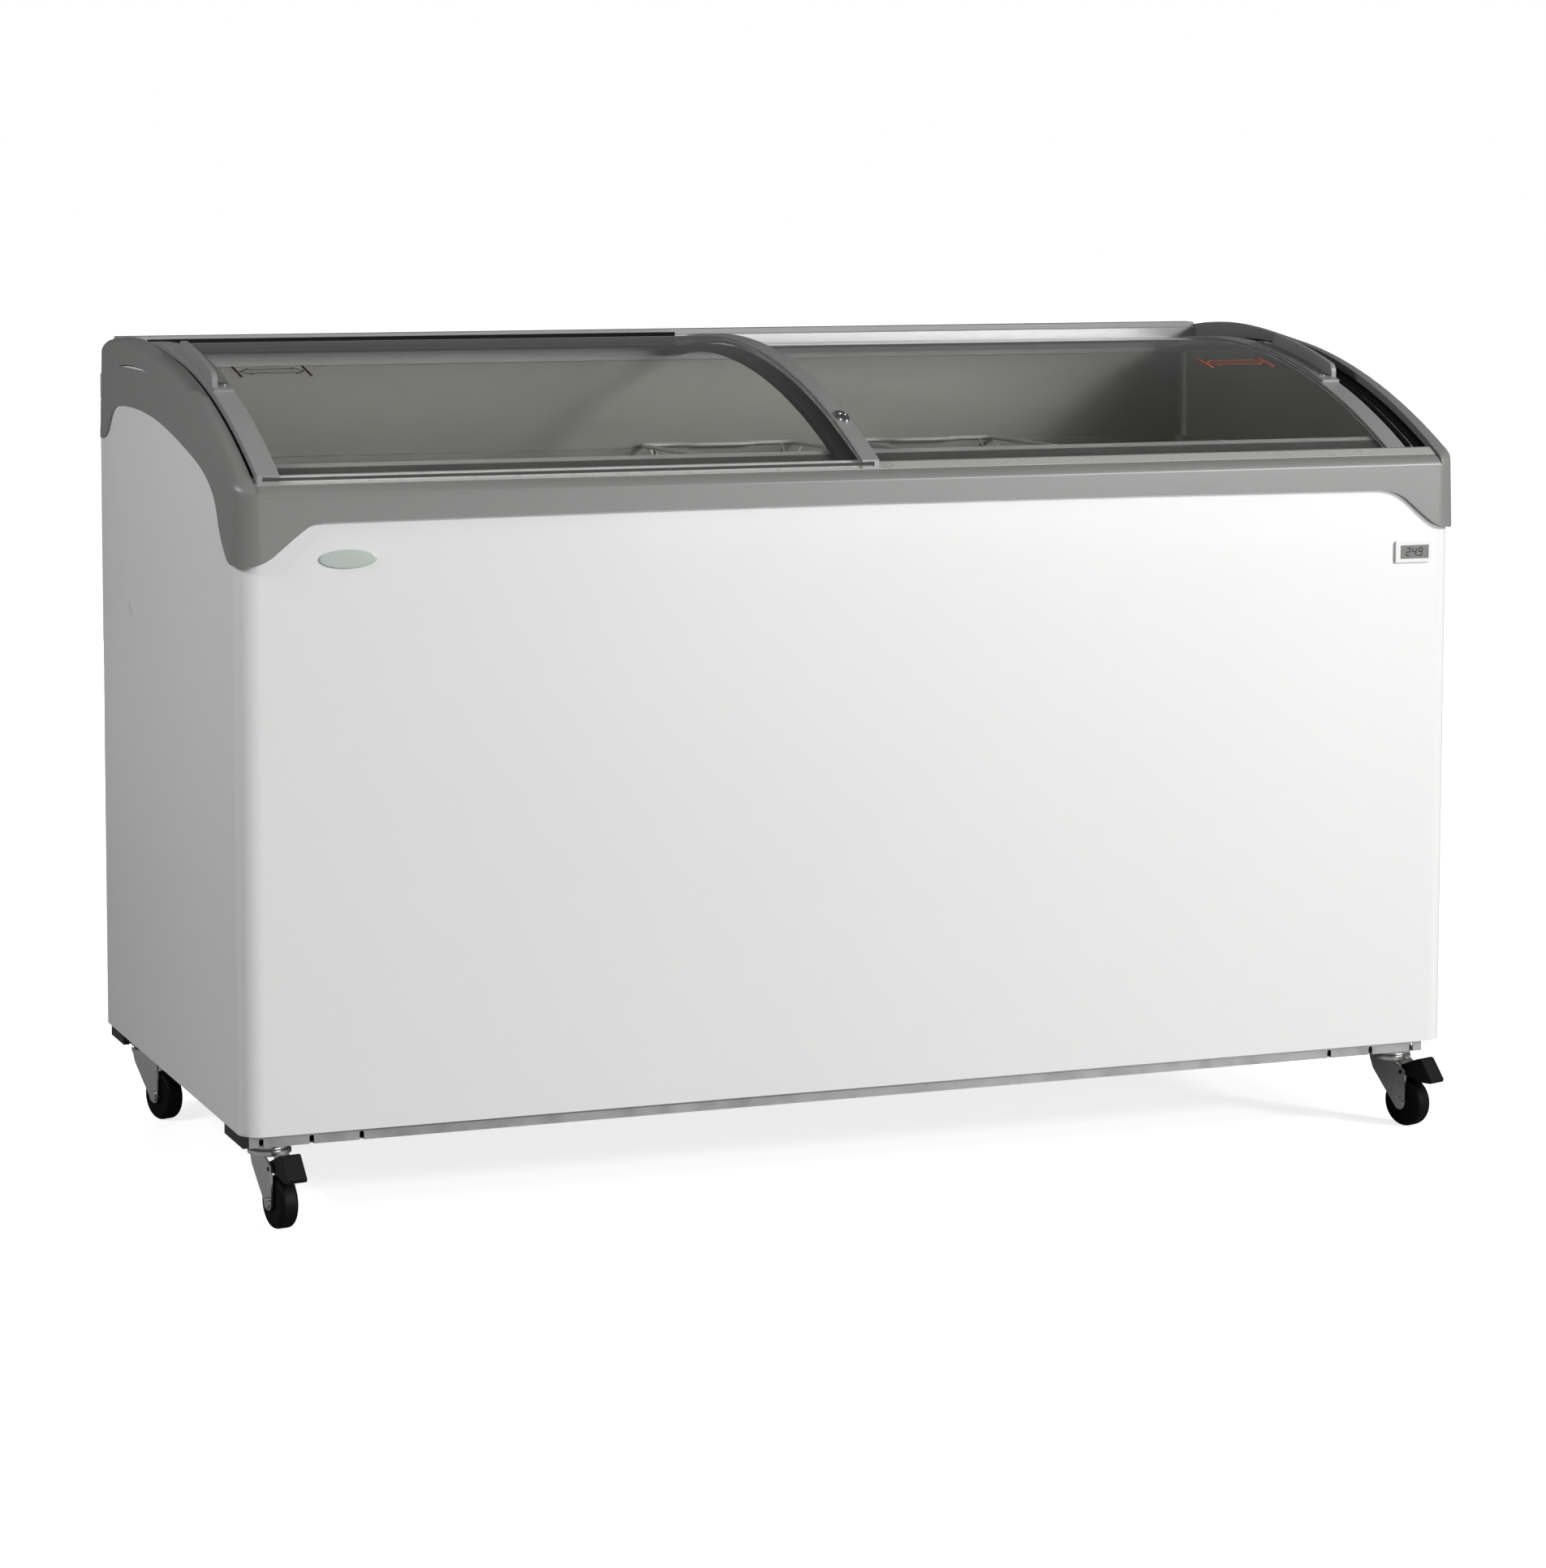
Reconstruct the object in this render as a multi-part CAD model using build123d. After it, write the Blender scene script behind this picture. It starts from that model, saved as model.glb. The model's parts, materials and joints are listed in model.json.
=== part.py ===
from build123d import *
import math
import os

# A retail display chest freezer on casters: white sheet steel cabinet, grey moulded top
# frame with arched cheeks, and two curved glass lids that slide past each other.
# Millimetres, +Z up, front faces -Y, +X to the right when facing the front.
# Modelled about the cabinet's own centre, then moved so that the origin is on the floor
# under the centre of the whole footprint, brake pedals included.

# ---- driving dimensions -------------------------------------------------------------
WIDTH = 1420.0                 # cabinet across the side faces
DEPTH = 648.0                  # cabinet from front face to rear face
BASE_Z = 103.0                 # underside of the cabinet
FOOTPRINT_SHIFT_Y = 9.78       # cabinet centre behind the centre of the whole footprint
FRONT, REAR = -DEPTH / 2, DEPTH / 2
SIDE = WIDTH / 2

SHEET = 1.0                    # steel sheet of shell, rear panel and tub
INSULATION = 64.0              # foam between the shell and the tub

ARC_Y, ARC_Z = 140.0, -40.3    # centre line of every curved lid surface
LID_R = 947.0                  # outer face of the outer (left) lid
LID_STEP = 12.0                # the inner (right) lid runs this much lower
LID_THICK = 8.5                # end profile, from its face to its underside
GLASS = 4.0
RUN_GAP = 0.5                  # lid to track
TRACK_R = LID_R - LID_THICK - RUN_GAP
NOSE_Y, NOSE_R = FRONT + 11.7, 16.0

CHEEK_IN = 691.0               # inner wall of each cheek
LEDGE_IN = 664.5               # inner edge of the ledge beside the lids' ends
LEDGE_R = 931.0
RIM_R = 941.0                  # crest of the cheeks along their front part
CORE_R = 921.0                 # top of the insulated body under the frame
TRACK_FRONT = -302.0           # step between the outer and the inner lid's front track
OPENING_FRONT, OPENING_REAR = -260.0, 262.0
REAR_STEP, REAR_WALL = 276.0, 291.5

FRAME_BOTTOM = 696.0           # lowest point of the corner lobes
APRON_EDGE = 741.0             # lower edge of the front apron
FLARE = 5.5                    # how far the frame stands out at its lowest point
DRAFT = 1.64                   # degrees
CREST_Z, CREST_Y = 909.5, 190.0

TUB_X, TUB_FRONT, TUB_REAR = 646.0, -246.0, 244.0
TUB_FLOOR = 165.0
BASKET_LEDGE = 767.0           # shelf round the tub that carries the baskets
LEDGE_STEP = 12.0
HUMP_X, HUMP_Z = 370.0, 470.0  # raised floor over the compressor bay
COIL_GAP = 10.0                # space outside the tub for the evaporator tube
BAY_X, BAY_Z = 435.0, 405.0    # compressor bay, left wall and ceiling

RAIL_LOW = 90.5                # underside of the base rails
WHEEL_R, WHEEL_W = 28.0, 20.0
TRAIL = 27.0                   # axle ahead of the swivel
STUD_R = 6.0
AXLE_R = 4.0
FIT = 0.05                     # radial clearance of every running fit
CASTERS = {                    # swivel position and the way each one trails, in degrees
    "front_left": (-669.0, -273.0, -81.0),
    "front_right": (668.0, -273.0, -72.0),
    "rear_left": (-669.0, 268.0, -72.0),
    "rear_right": (668.0, 268.0, -72.0),
}
BRAKED = ("front_left", "front_right")

LEFT_LID_X = (-687.0, 3.0)     # ends of the left lid, closed
RIGHT_LID_X = (-35.0, 662.0)   # ends of the right lid, closed
LEFT_LID_Y = (-316.0, 290.5)
RIGHT_LID_Y = (-300.5, 275.0)
BAND = 24.0                    # width of the outer end profiles
INNER_BAND = 20.0              # width of the profiles that overlap at the centre
BASKETS = {"basket_left": (-72.0, 129.0), "basket_right": (192.0, 392.0)}
BASKET_DEPTH = 230.0
WIRE_R = 2.5
HOOP_WIDTH, STRUT_WIDTH = 3.6, 3.0
FIN_TOP = 17.0                  # height of a handle's fin above its lid
BASKET_INSET = 8.0


# ---- helpers ------------------------------------------------------------------------
def block(x0, x1, y0, y1, z0, z1):
    """Box between two corners."""
    return Pos((x0 + x1) / 2, (y0 + y1) / 2, (z0 + z1) / 2) * Box(x1 - x0, y1 - y0, z1 - z0)


def along_x(sketch, x0, x1):
    """Extrude a sketch drawn in (y, z) from x0 to x1."""
    return Pos(x0, 0, 0) * extrude(Plane.YZ * sketch, x1 - x0)


def along_y(sketch, y0, y1):
    """Extrude a sketch drawn in (x, z) from y0 to y1."""
    return Pos(0, y1, 0) * extrude(Plane.XZ * sketch, y1 - y0)


def disc(radius):
    """Full circle about the lids' centre line, in (y, z)."""
    return Pos(ARC_Y, ARC_Z) * Circle(radius)


def window(y0, y1, z0=500.0, z1=1000.0):
    """Rectangle in (y, z)."""
    return Pos((y0 + y1) / 2, (z0 + z1) / 2) * Rectangle(y1 - y0, z1 - z0)


def arc_strip(r_out, thick, y0, y1, x0, x1):
    """Curved strip that follows the lids' arc, from y0 to y1 and x0 to x1."""
    ring = disc(r_out) - disc(r_out - thick)
    return along_x(ring & window(y0, y1), x0, x1)


def arc_z(radius, y):
    """Height of an arc of that radius at y."""
    return ARC_Z + math.sqrt(radius ** 2 - (y - ARC_Y) ** 2)


def above_arc(radius, y0, y1, x0, x1):
    """Everything over that arc between the limits."""
    return along_x(window(y0, y1) - disc(radius), x0, x1)


def rounded_block(x0, x1, y0, y1, z0, z1, radius):
    """Box with its four upright edges rounded."""
    plan = Pos((x0 + x1) / 2, (y0 + y1) / 2) * RectangleRounded(x1 - x0, y1 - y0, radius)
    return Pos(0, 0, z0) * extrude(plan, z1 - z0)


def rod(start, end, radius):
    """Round bar between two points."""
    line = Line(start, end)
    return sweep(Plane(line @ 0, z_dir=line % 0) * Circle(radius), path=line)


def group(shapes):
    """Several separate solids as one sub-part."""
    return Compound([solid for shape in shapes for solid in shape.solids()])


# ---- cabinet ------------------------------------------------------------------------
def cabinet_plan(inset):
    """Plan of the cabinet, its front corners rounder than its rear ones."""
    x, y0, y1 = SIDE - inset, FRONT + inset, REAR - inset
    plan = Pos(0, (y0 + y1) / 2) * Rectangle(2 * x, y1 - y0)
    plan = fillet(plan.vertices().group_by(Axis.Y)[0], 24.0 - inset)
    return fillet(plan.vertices().group_by(Axis.Y)[-1], 12.0 - inset)


def outer_shell():
    """Front and sides in one wrapped sheet, with a return flange below and behind."""
    wall = extrude(cabinet_plan(0), 800.0) - extrude(cabinet_plan(SHEET), 800.0)
    flange = extrude(cabinet_plan(0), SHEET) - extrude(cabinet_plan(8.0), SHEET)
    shell = Pos(0, 0, BASE_Z) * (wall + flange)
    shell -= block(-SIDE + 20, SIDE - 20, REAR - 30, REAR + 1, 0, 1000)
    shell &= along_x(disc(CORE_R - 1.0) & window(-400, 400, 0, 1000), -800, 800)
    return shell - Pos(-SIDE, 168, 606) * Rot(0, 90, 0) * Cylinder(6.5, 20)


def rear_panel():
    """Flat sheet between the shell's rear returns, open behind the compressor bay."""
    panel = block(-SIDE + 20.3, SIDE - 20.3, REAR - SHEET, REAR, BASE_Z + 1.1, 850)
    return panel - block(468, 672, REAR - 5, REAR + 5, 148, 372)


def floor_pan():
    """Galvanised bottom sheet, open under the drain and vented under the bay."""
    z0 = BASE_Z + SHEET + 0.05
    pan = Pos(0, 0, z0) * extrude(cabinet_plan(SHEET + 1.0), 1.2)
    pan -= Pos(-560, -160, z0) * Cylinder(13, 10)
    vents = GridLocations(28, 90, 6, 3)
    return pan - Pos(570, -120, z0) * vents * Box(10, 60, 10)


def tub_space(grow):
    """The tub's inner space, grown by a wall: a lower well with a hump, a wider top."""
    x, y0, y1, radius = TUB_X + grow, TUB_FRONT - grow, TUB_REAR + grow, 10.0 + grow
    step = LEDGE_STEP
    well = rounded_block(-x, HUMP_X + grow, y0, y1, TUB_FLOOR - grow, BASKET_LEDGE + 5, radius)
    well += rounded_block(-x, x, y0, y1, HUMP_Z - grow, BASKET_LEDGE + 5, radius)
    top = rounded_block(
        -x - step, x + step, y0 - step, y1 + step, BASKET_LEDGE - grow, 1000, radius
    )
    return well + top


def under_core(drop=0.0):
    """Everything below the arched top of the insulated body."""
    return along_x(disc(CORE_R - drop) & window(-400, 400, 0, 1000), -800, 800)


def inner_tub():
    """One-piece liner with the basket ledge, a hump at the right and a drain hole."""
    tub = (tub_space(SHEET) - tub_space(0)) & under_core(1.0)
    return tub - Pos(-560, -160, TUB_FLOOR) * Cylinder(13, 20)


def foam_core():
    """Insulation between shell and liner, hollow at the compressor bay."""
    core = extrude(cabinet_plan(SHEET + 0.1), 800.0)
    core = Pos(0, 0, BASE_Z + SHEET + 1.35) * core
    core &= under_core(1.2)
    core -= tub_space(COIL_GAP)
    core -= block(BAY_X, SIDE - 6, FRONT + INSULATION + 20, REAR + 1, 0, BAY_Z)
    core -= Pos(-560, -160, 130) * Cylinder(13, 100)
    return core


def evaporator_coil():
    """Rings of tube pressed round the outside of the liner's well."""
    tube, off = 4.0, 5.4
    rings = []
    for n in range(8):
        z = 210.0 + 70.0 * n
        right = HUMP_X if z < HUMP_Z else TUB_X
        x0, x1 = -TUB_X - off, right + off
        y0, y1 = TUB_FRONT - off, TUB_REAR + off
        plan = Pos((x0 + x1) / 2, (y0 + y1) / 2, z) * RectangleRounded(x1 - x0, y1 - y0, 15.4)
        path = plan.wire()
        start = Plane(path @ 0, z_dir=path % 0)
        rings.append(sweep(start * Circle(tube), path=path))
    return group(rings)


def base_rail(x0, x1, face, back, slots):
    """Galvanised channel, open upwards, with upright slots in its outer face."""
    low, high = min(face, back), max(face, back)
    rail = block(x0, x1, low, high, RAIL_LOW, BASE_Z - 0.1)
    rail -= block(x0 - 1, x1 + 1, low + 1.5, high - 1.5, RAIL_LOW + 1.5, BASE_Z + 1)
    for x in slots:
        rail -= block(x - 2.4, x + 2.4, face - 5, face + 5, RAIL_LOW - 1, RAIL_LOW + 7)
        rail -= Pos(x, face, RAIL_LOW + 7) * Rot(90, 0, 0) * Cylinder(2.4, 10)
    return stud_holes(rail)


def front_base_rail():
    """Rail across the front, set back under the shell."""
    return base_rail(-702, 683, FRONT + 7, FRONT + 72, (-689, -635, -581, 563, 616.5, 669.5))


def rear_base_rail():
    """Rail across the rear."""
    return base_rail(-702, 690, REAR - 16, REAR - 81, ())


def side_spacers():
    """Black packing strips between shell and rails at the left corners."""
    pair = [(-319.0, -240.0), (236.0, 300.0)]
    return group([block(-709, -702.4, a, b, 91.2, BASE_Z - 0.1) for a, b in pair])


# ---- grey top frame -----------------------------------------------------------------
def nose_centre():
    """Centre in (y, z) of the bullnose, placed so that its round runs into the track's arc."""
    reach = TRACK_R - NOSE_R
    return NOSE_Y, ARC_Z + math.sqrt(reach ** 2 - (NOSE_Y - ARC_Y) ** 2)


def nose_point(radius):
    """Where a round of that radius about the bullnose's centre runs into a lid arc."""
    y, z = nose_centre()
    reach = TRACK_R - NOSE_R
    return y + radius * (y - ARC_Y) / reach, z + radius * (z - ARC_Z) / reach


def frame_side_outline():
    """Side view of the frame in (y, z): round nose, arched crest and rear corner."""
    nose_y, nose_z = nose_centre()
    radius = NOSE_R + RIM_R - TRACK_R
    end = nose_point(radius)
    low = Polyline((-345, 680), (-345, nose_z), (nose_y - radius, nose_z))
    nose = RadiusArc((nose_y - radius, nose_z), end, radius)
    arch = ThreePointArc(end, (-150, arc_z(RIM_R, -150)), (30, arc_z(RIM_R, 30)))
    rise = (1, (ARC_Y - 30) / (arc_z(RIM_R, 30) - ARC_Z))
    crest = Spline((30, arc_z(RIM_R, 30)), (CREST_Y, CREST_Z), (296, 904), tangents=[rise, (1, -0.12)])
    corner = Spline((296, 904), (316, 896), (326, 876), tangents=[(1, -0.12), (0.1, -1)])
    rest = Polyline((326, 876), (345, 700), (345, 680), (-345, 680))
    return make_face([low, nose, arch, crest, corner, rest])


def above_nose():
    """Region in (y, z) in front of and above the apron's own, lower bullnose."""
    nose_y, nose_z = nose_centre()
    far = nose_point(120.0)
    behind = make_face(
        Polyline((nose_y, nose_z), far, (400, 1000), (400, 600), (nose_y, 600), (nose_y, nose_z))
    )
    keep = Pos(nose_y, nose_z) * Circle(NOSE_R) + (disc(TRACK_R) & behind)
    return window(-345, TRACK_FRONT, nose_z, 1000) - keep


def cheek_cutout():
    """Region in (y, z) under the cheek's lower edge, with the drooping rear ear."""
    lobe = Spline(
        (-322, 696.5), (-286, 711), (-262, 734), (-248, 754), (-226, 771),
        tangents=[(1, 0.05), (1, 0.55)],
    )
    sweep_up = Spline(
        (-226, 771), (-120, 803), (20, 826.5), (150, 834.5), (208, 833),
        tangents=[(1, 0.55), (1, -0.06)],
    )
    ear = Spline((208, 833), (240, 825), (262, 806), (300, 791), tangents=[(1, -0.06), (1, -0.1)])
    rest = Polyline((300, 791), (360, 791), (360, 600), (-322, 600), (-322, 696.5))
    return make_face([lobe, sweep_up, ear, rest])


def apron_cutout():
    """Region in (x, z) under the apron, between the two corner lobes."""
    half = [(704, 696.5), (681, 702), (660, 718), (640, 733.5), (606, APRON_EDGE)]
    left = Spline([(-x, z) for x, z in half], tangents=[(1, 0.05), (1, 0.0)])
    right = Spline(half[::-1], tangents=[(1, 0.0), (1, -0.05)])
    middle = ThreePointArc((-606, APRON_EDGE), (0, APRON_EDGE + 2.5), (606, APRON_EDGE))
    rest = Polyline((704, 696.5), (704, 600), (-704, 600), (-704, 696.5))
    return make_face([left, middle, right, rest])


def top_frame():
    """Apron, bullnose, cheeks and ledges in one moulding that caps the body."""
    plan = RectangleRounded(WIDTH + 2 * FLARE, DEPTH + 2 * FLARE + 1, 28)
    body = Pos(0, 0, FRAME_BOTTOM) * extrude(plan, 230, taper=DRAFT)
    body &= along_x(frame_side_outline(), -800, 800)
    crest_edges = body.edges().filter_by(
        lambda e: abs(e.center().X) > 690 and e.center().Z > 790 and e.length > 60
    )
    body = fillet(crest_edges, 13.0)
    body -= along_x(cheek_cutout(), -800, -SIDE + 14)
    body -= along_x(cheek_cutout(), SIDE - 14, 800)
    body -= along_y(apron_cutout(), FRONT - 20, FRONT + 14)
    cavity = Pos(0, 0, 600) * extrude(cabinet_plan(-0.3), 400)
    body -= cavity & under_core(0)
    lid_room = above_arc(LEDGE_R, TRACK_FRONT, 400, -CHEEK_IN, CHEEK_IN)
    outer_track = along_x(above_nose(), -CHEEK_IN, CHEEK_IN)
    inner_track = above_arc(TRACK_R - LID_STEP, TRACK_FRONT, 400, -LEDGE_IN, LEDGE_IN)
    body -= lid_room + outer_track + inner_track
    body -= block(-LEDGE_IN, LEDGE_IN, OPENING_FRONT, 400, 600, 1000)
    body -= block(-CHEEK_IN, CHEEK_IN, OPENING_REAR, 400, 600, 1000)
    body -= block(-SIDE + 13, SIDE - 13, REAR - 1, 400, 600, 791)
    return body.solids().sort_by(SortBy.VOLUME)[-1]


def rear_rail():
    """Extruded rail between the cheeks, with a shelf for each lid's rear edge."""
    outer_r, inner_r = TRACK_R, TRACK_R - LID_STEP
    y_front = OPENING_REAR
    shape = make_face(
        Polyline(
            (y_front, arc_z(CORE_R, y_front)),
            (y_front, arc_z(inner_r, y_front)),
            (REAR_STEP, arc_z(inner_r, REAR_STEP)),
            (REAR_STEP, arc_z(outer_r, REAR_STEP)),
            (REAR_WALL, arc_z(outer_r, REAR_WALL)),
            (REAR_WALL, 899.5),
            (295, 901),
            (298, 906.5),
            (322, 906.5),
            (326.8, 901),
            (326.8, 838),
            (REAR + 0.3, 838),
            (REAR + 0.3, arc_z(CORE_R, REAR)),
            (y_front, arc_z(CORE_R, y_front)),
        )
    )
    return along_x(shape, -CHEEK_IN + 0.2, CHEEK_IN - 0.2) - under_core(0.0)


def glide_strips():
    """Low-friction strips let into the four track surfaces."""
    outer_r = LID_R - LID_THICK
    inner_r = outer_r - LID_STEP
    spans = [
        (outer_r, -316.0, -304.0, CHEEK_IN - 2),
        (inner_r, -298.0, -288.0, LEDGE_IN - 2),
        (inner_r, 264.0, 272.0, LEDGE_IN - 2),
        (outer_r, 278.0, 289.0, CHEEK_IN - 2),
    ]
    strips = [arc_strip(r - 0.15, 0.35, a, b, -x, x) for r, a, b, x in spans]
    return group(strips)


def end_seals():
    """Rubber strips along both ledges, beside the lids' end profiles."""
    strips = []
    for side in (-1, 1):
        x0, x1 = sorted((side * (LEDGE_IN + 1.5), side * (LEDGE_IN + 7.5)))
        strips.append(arc_strip(LEDGE_R + 3.1, 3.0, -290, 258, x0, x1))
    return group(strips)


# ---- fittings -----------------------------------------------------------------------
def thermometer_bezel():
    """White frame of the digital thermometer on the front."""
    x, z = 657.0, 670.0
    bezel = Pos(x, FRONT - 1.6, z) * Box(46, 3.2, 24.5)
    bezel = fillet(bezel.edges().filter_by(Axis.Y), 2.0)
    return bezel - Pos(x + 1, FRONT - 2.2, z - 0.5) * Box(36.4, 2.4, 15.4)


def thermometer_display():
    """Liquid-crystal display set into the bezel."""
    return Pos(658.0, FRONT - 1.8, 669.5) * Box(36.0, 1.4, 15.0)


def badge():
    """Plain oval badge with a softly domed face."""
    oval = Pos(-593.5, FRONT, 702) * extrude(Plane.XZ * Ellipse(31, 10), 2.2)
    return fillet(oval.faces().sort_by(Axis.Y)[0].edges(), 1.4)


def side_plug():
    """Cap in the foam filling hole of the left side."""
    cap = Pos(-SIDE - 0.4, 168, 606) * Rot(0, 90, 0) * Cylinder(8.0, 0.8)
    return cap + Pos(-SIDE + 0.5, 168, 606) * Rot(0, 90, 0) * Cylinder(6.2, 1.1)


def drain_tube():
    """Spout from the tub floor down through the foam and the floor pan."""
    tube = Pos(-560, -160, 131.5) * Cylinder(12.5, 67) - Pos(-560, -160, 131.5) * Cylinder(10.4, 80)
    return tube


def drain_plug():
    """Stopper with a pull ring in the tub's drain."""
    stem = Pos(-560, -160, 155) * Cylinder(10.0, 20)
    head = Pos(-560, -160, TUB_FLOOR + 2.4) * Cylinder(15.0, 4.0)
    ring = Pos(-560, -160, TUB_FLOOR + 10.5) * Rot(90, 0, 0) * Torus(7.0, 1.5)
    return stem + head + ring


def compressor():
    """Hermetic can on a foot plate."""
    can = Pos(615, 20, 222) * Cylinder(62, 150)
    can = fillet(can.edges(), 26.0)
    foot = Pos(615, 20, 142) * Box(170, 130, 4)
    pads = Pos(615, 20, 123) * GridLocations(140, 100, 2, 2) * Cylinder(11, 34)
    neck = Pos(615, 20, 148) * Cylinder(40, 12)
    return can + foot + neck + pads


def filter_drier():
    """Copper drier with its two tube ends, upright beside the compressor."""
    body = Pos(480, -60, 250) * Cylinder(11, 90)
    cones = Pos(480, -60, 295) * Cone(11, 3, 14, align=(Align.CENTER, Align.CENTER, Align.MIN))
    stub = Pos(480, -60, 157) * Cylinder(3, 103)
    return body + cones + stub


def condenser():
    """Finned block behind the grille, with its tube bends."""
    x0, x1, z0, z1 = 470.0, 668.0, 152.0, 352.0
    core = block(x0, x1, 284, 312, z0, z1)
    for n in range(24):
        x = x0 + 8.25 * (n + 1)
        core -= block(x - 2.6, x + 2.6, 283, 313, z0 + 4, z1 - 4) - block(
            x - 3, x + 3, 292, 304, z0, z1
        )
    feet = block(x0 + 10, x0 + 40, 286, 310, 105.5, z0) + block(x1 - 40, x1 - 10, 286, 310, 105.5, z0)
    return core + feet


def fan_motor():
    """Motor on a strap in front of the condenser."""
    can = Pos(569, 206, 252) * Rot(90, 0, 0) * Cylinder(28, 50)
    strap = block(559, 579, 176, 180.5, 105.5, 252)
    foot = block(539, 599, 160, 196, 105.5, 108)
    shaft = Pos(569, 240, 252) * Rot(90, 0, 0) * Cylinder(3.0, 30)
    return can + strap + foot + shaft


def fan_rotor():
    """Five pitched blades on a hub that runs on the motor shaft."""
    centre = Pos(569, 252, 252) * Rot(90, 0, 0)
    hub = centre * (Cylinder(15, 16) - Cylinder(3.0 + FIT, 20))
    rotor = hub
    for n in range(5):
        blade = Rot(0, 0, 72 * n) * Pos(44, 0, 0) * Rot(28, 0, 0) * Box(64, 34, 1.8)
        rotor += centre * blade
    return rotor - centre * Cylinder(3.0 + FIT, 20)


def rear_grille():
    """Louvred plastic cover over the bay's rear opening."""
    grille = block(460, 680, REAR + 0.1, REAR + 2.6, 140, 380)
    for n in range(13):
        z = 152 + 18.0 * n
        grille -= block(474, 566, REAR - 1, REAR + 5, z, z + 9)
        grille -= block(574, 666, REAR - 1, REAR + 5, z, z + 9)
    return grille


def control_box():
    """Electrical box fixed to the bay's floor, with the thermostat's shaft hole."""
    box_ = block(470, 560, -150, -100, 105.5, 190)
    return box_ - Pos(515, -98, 160) * Rot(90, 0, 0) * Cylinder(4.0 + FIT, 24)


def thermostat_knob():
    """Knob on the control box, reached through the bay's rear opening."""
    axis = Pos(515, -88, 160) * Rot(90, 0, 0)
    knob = axis * Cylinder(16, 14)
    knob = fillet(knob.edges().sort_by(Axis.Y)[-1], 2.0)
    knob += axis * Pos(0, 0, 12) * Cylinder(4.0, 12)
    return knob + Pos(515, -80, 160) * Box(5, 3, 30)


def power_inlet():
    """Gland in the rear panel where the mains lead would enter."""
    flange = Pos(440, REAR + 1.6, 170) * Rot(90, 0, 0) * Cylinder(11, 3)
    bore = Pos(440, REAR + 1.6, 170) * Rot(90, 0, 0) * Cylinder(4.2, 8)
    return flange - bore


# ---- lids ---------------------------------------------------------------------------
def lid_limits(which):
    """Arc radius, ends in x, ends in y and the two profile widths of a lid."""
    if which == "left":
        return LID_R, LEFT_LID_X, LEFT_LID_Y, (BAND, INNER_BAND)
    return LID_R - LID_STEP, RIGHT_LID_X, RIGHT_LID_Y, (INNER_BAND, BAND)


def lid_glass(which):
    """Curved pane; its ends sit in the slots of the two profiles."""
    radius, xs, ys, _ = lid_limits(which)
    return arc_strip(radius - 2.1, GLASS, ys[0] + 1.5, ys[1] - 0.5, xs[0] + 6, xs[1] - 6)


def lid_profile(which, end):
    """Curved end profile with a slot that grips the pane."""
    radius, xs, ys, widths = lid_limits(which)
    if end == 0:
        x0, x1 = xs[0], xs[0] + widths[0]
        slot = (xs[0] + 5.8, x1 + 1)
    else:
        x0, x1 = xs[1] - widths[1], xs[1]
        slot = (x0 - 1, xs[1] - 5.8)
    band = arc_strip(radius, LID_THICK, ys[0], ys[1], x0, x1)
    return band - arc_strip(radius - 2.0, GLASS + 0.2, ys[0] - 1, ys[1] + 1, *slot)


def centre_seal():
    """Wiper under the left lid's centre profile, just clear of the right lid."""
    r_top = LID_R - LID_THICK
    return arc_strip(r_top, 2.9, -298, 270, LEFT_LID_X[1] - 14, LEFT_LID_X[1] - 8)


def handle(which):
    """Grip bolted to a lid's outer profile: a base strip with a raised rounded fin."""
    radius, xs, _, _ = lid_limits(which)
    x0, x1 = (xs[0], xs[0] + BAND - 2) if which == "left" else (xs[1] - BAND + 2, xs[1])
    fin_x = (x0, x0 + 6.0) if which == "left" else (x1 - 6.0, x1)
    base = arc_strip(radius + 3.2, 3.15, -138, 44, x0, x1)
    ring = disc(radius + FIN_TOP) - disc(radius + 1)
    fin = along_x(ring & window(-130, 18), *fin_x)
    rear_tip = fin.edges().filter_by(Axis.X).sort_by(Axis.Y)[-1]
    fin = fillet(rear_tip, 12.0)
    front_tip = [e for e in fin.edges().filter_by(Axis.X) if e.center().Y < -100]
    fin = fillet(max(front_tip, key=lambda e: e.center().Z), 11.0)
    grip = base + (fin - disc_solid(radius + 0.05))
    for y in HANDLE_SCREWS:
        grip -= screw_axis(which, y) * Cylinder(2.1, 40)
    return grip


HANDLE_SCREWS = (-122.0, 32.0)


def disc_solid(radius):
    """Cylinder about the lids' centre line, across the whole width."""
    return along_x(disc(radius), -800, 800)


def screw_axis(which, y):
    """Place on the handle base at y, with +Z square to the lid."""
    radius, xs, _, _ = lid_limits(which)
    x = xs[0] + 14.0 if which == "left" else xs[1] - 14.0
    lean = math.degrees(math.asin((y - ARC_Y) / (radius + 3.2)))
    return Pos(x, y, arc_z(radius + 3.2, y)) * Rot(-lean, 0, 0)


def handle_screws(which):
    """Two domed screws through the handle base into the profile's skin."""
    solids = []
    for y in HANDLE_SCREWS:
        head = Pos(0, 0, 0.9) * Cylinder(3.8, 1.6)
        shank = Pos(0, 0, -2.5) * Cylinder(2.0, 5.2)
        solids.append(screw_axis(which, y) * (head + shank))
    return group(solids)


LOCK_Y = -231.0


def lock_axis():
    """Place of the lock on the left lid's centre profile, +Z square to the lid."""
    lean = math.degrees(math.asin((LOCK_Y - ARC_Y) / LID_R))
    return Pos(LEFT_LID_X[1] - 9.0, LOCK_Y, arc_z(LID_R, LOCK_Y)) * Rot(-lean, 0, 0)


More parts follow.
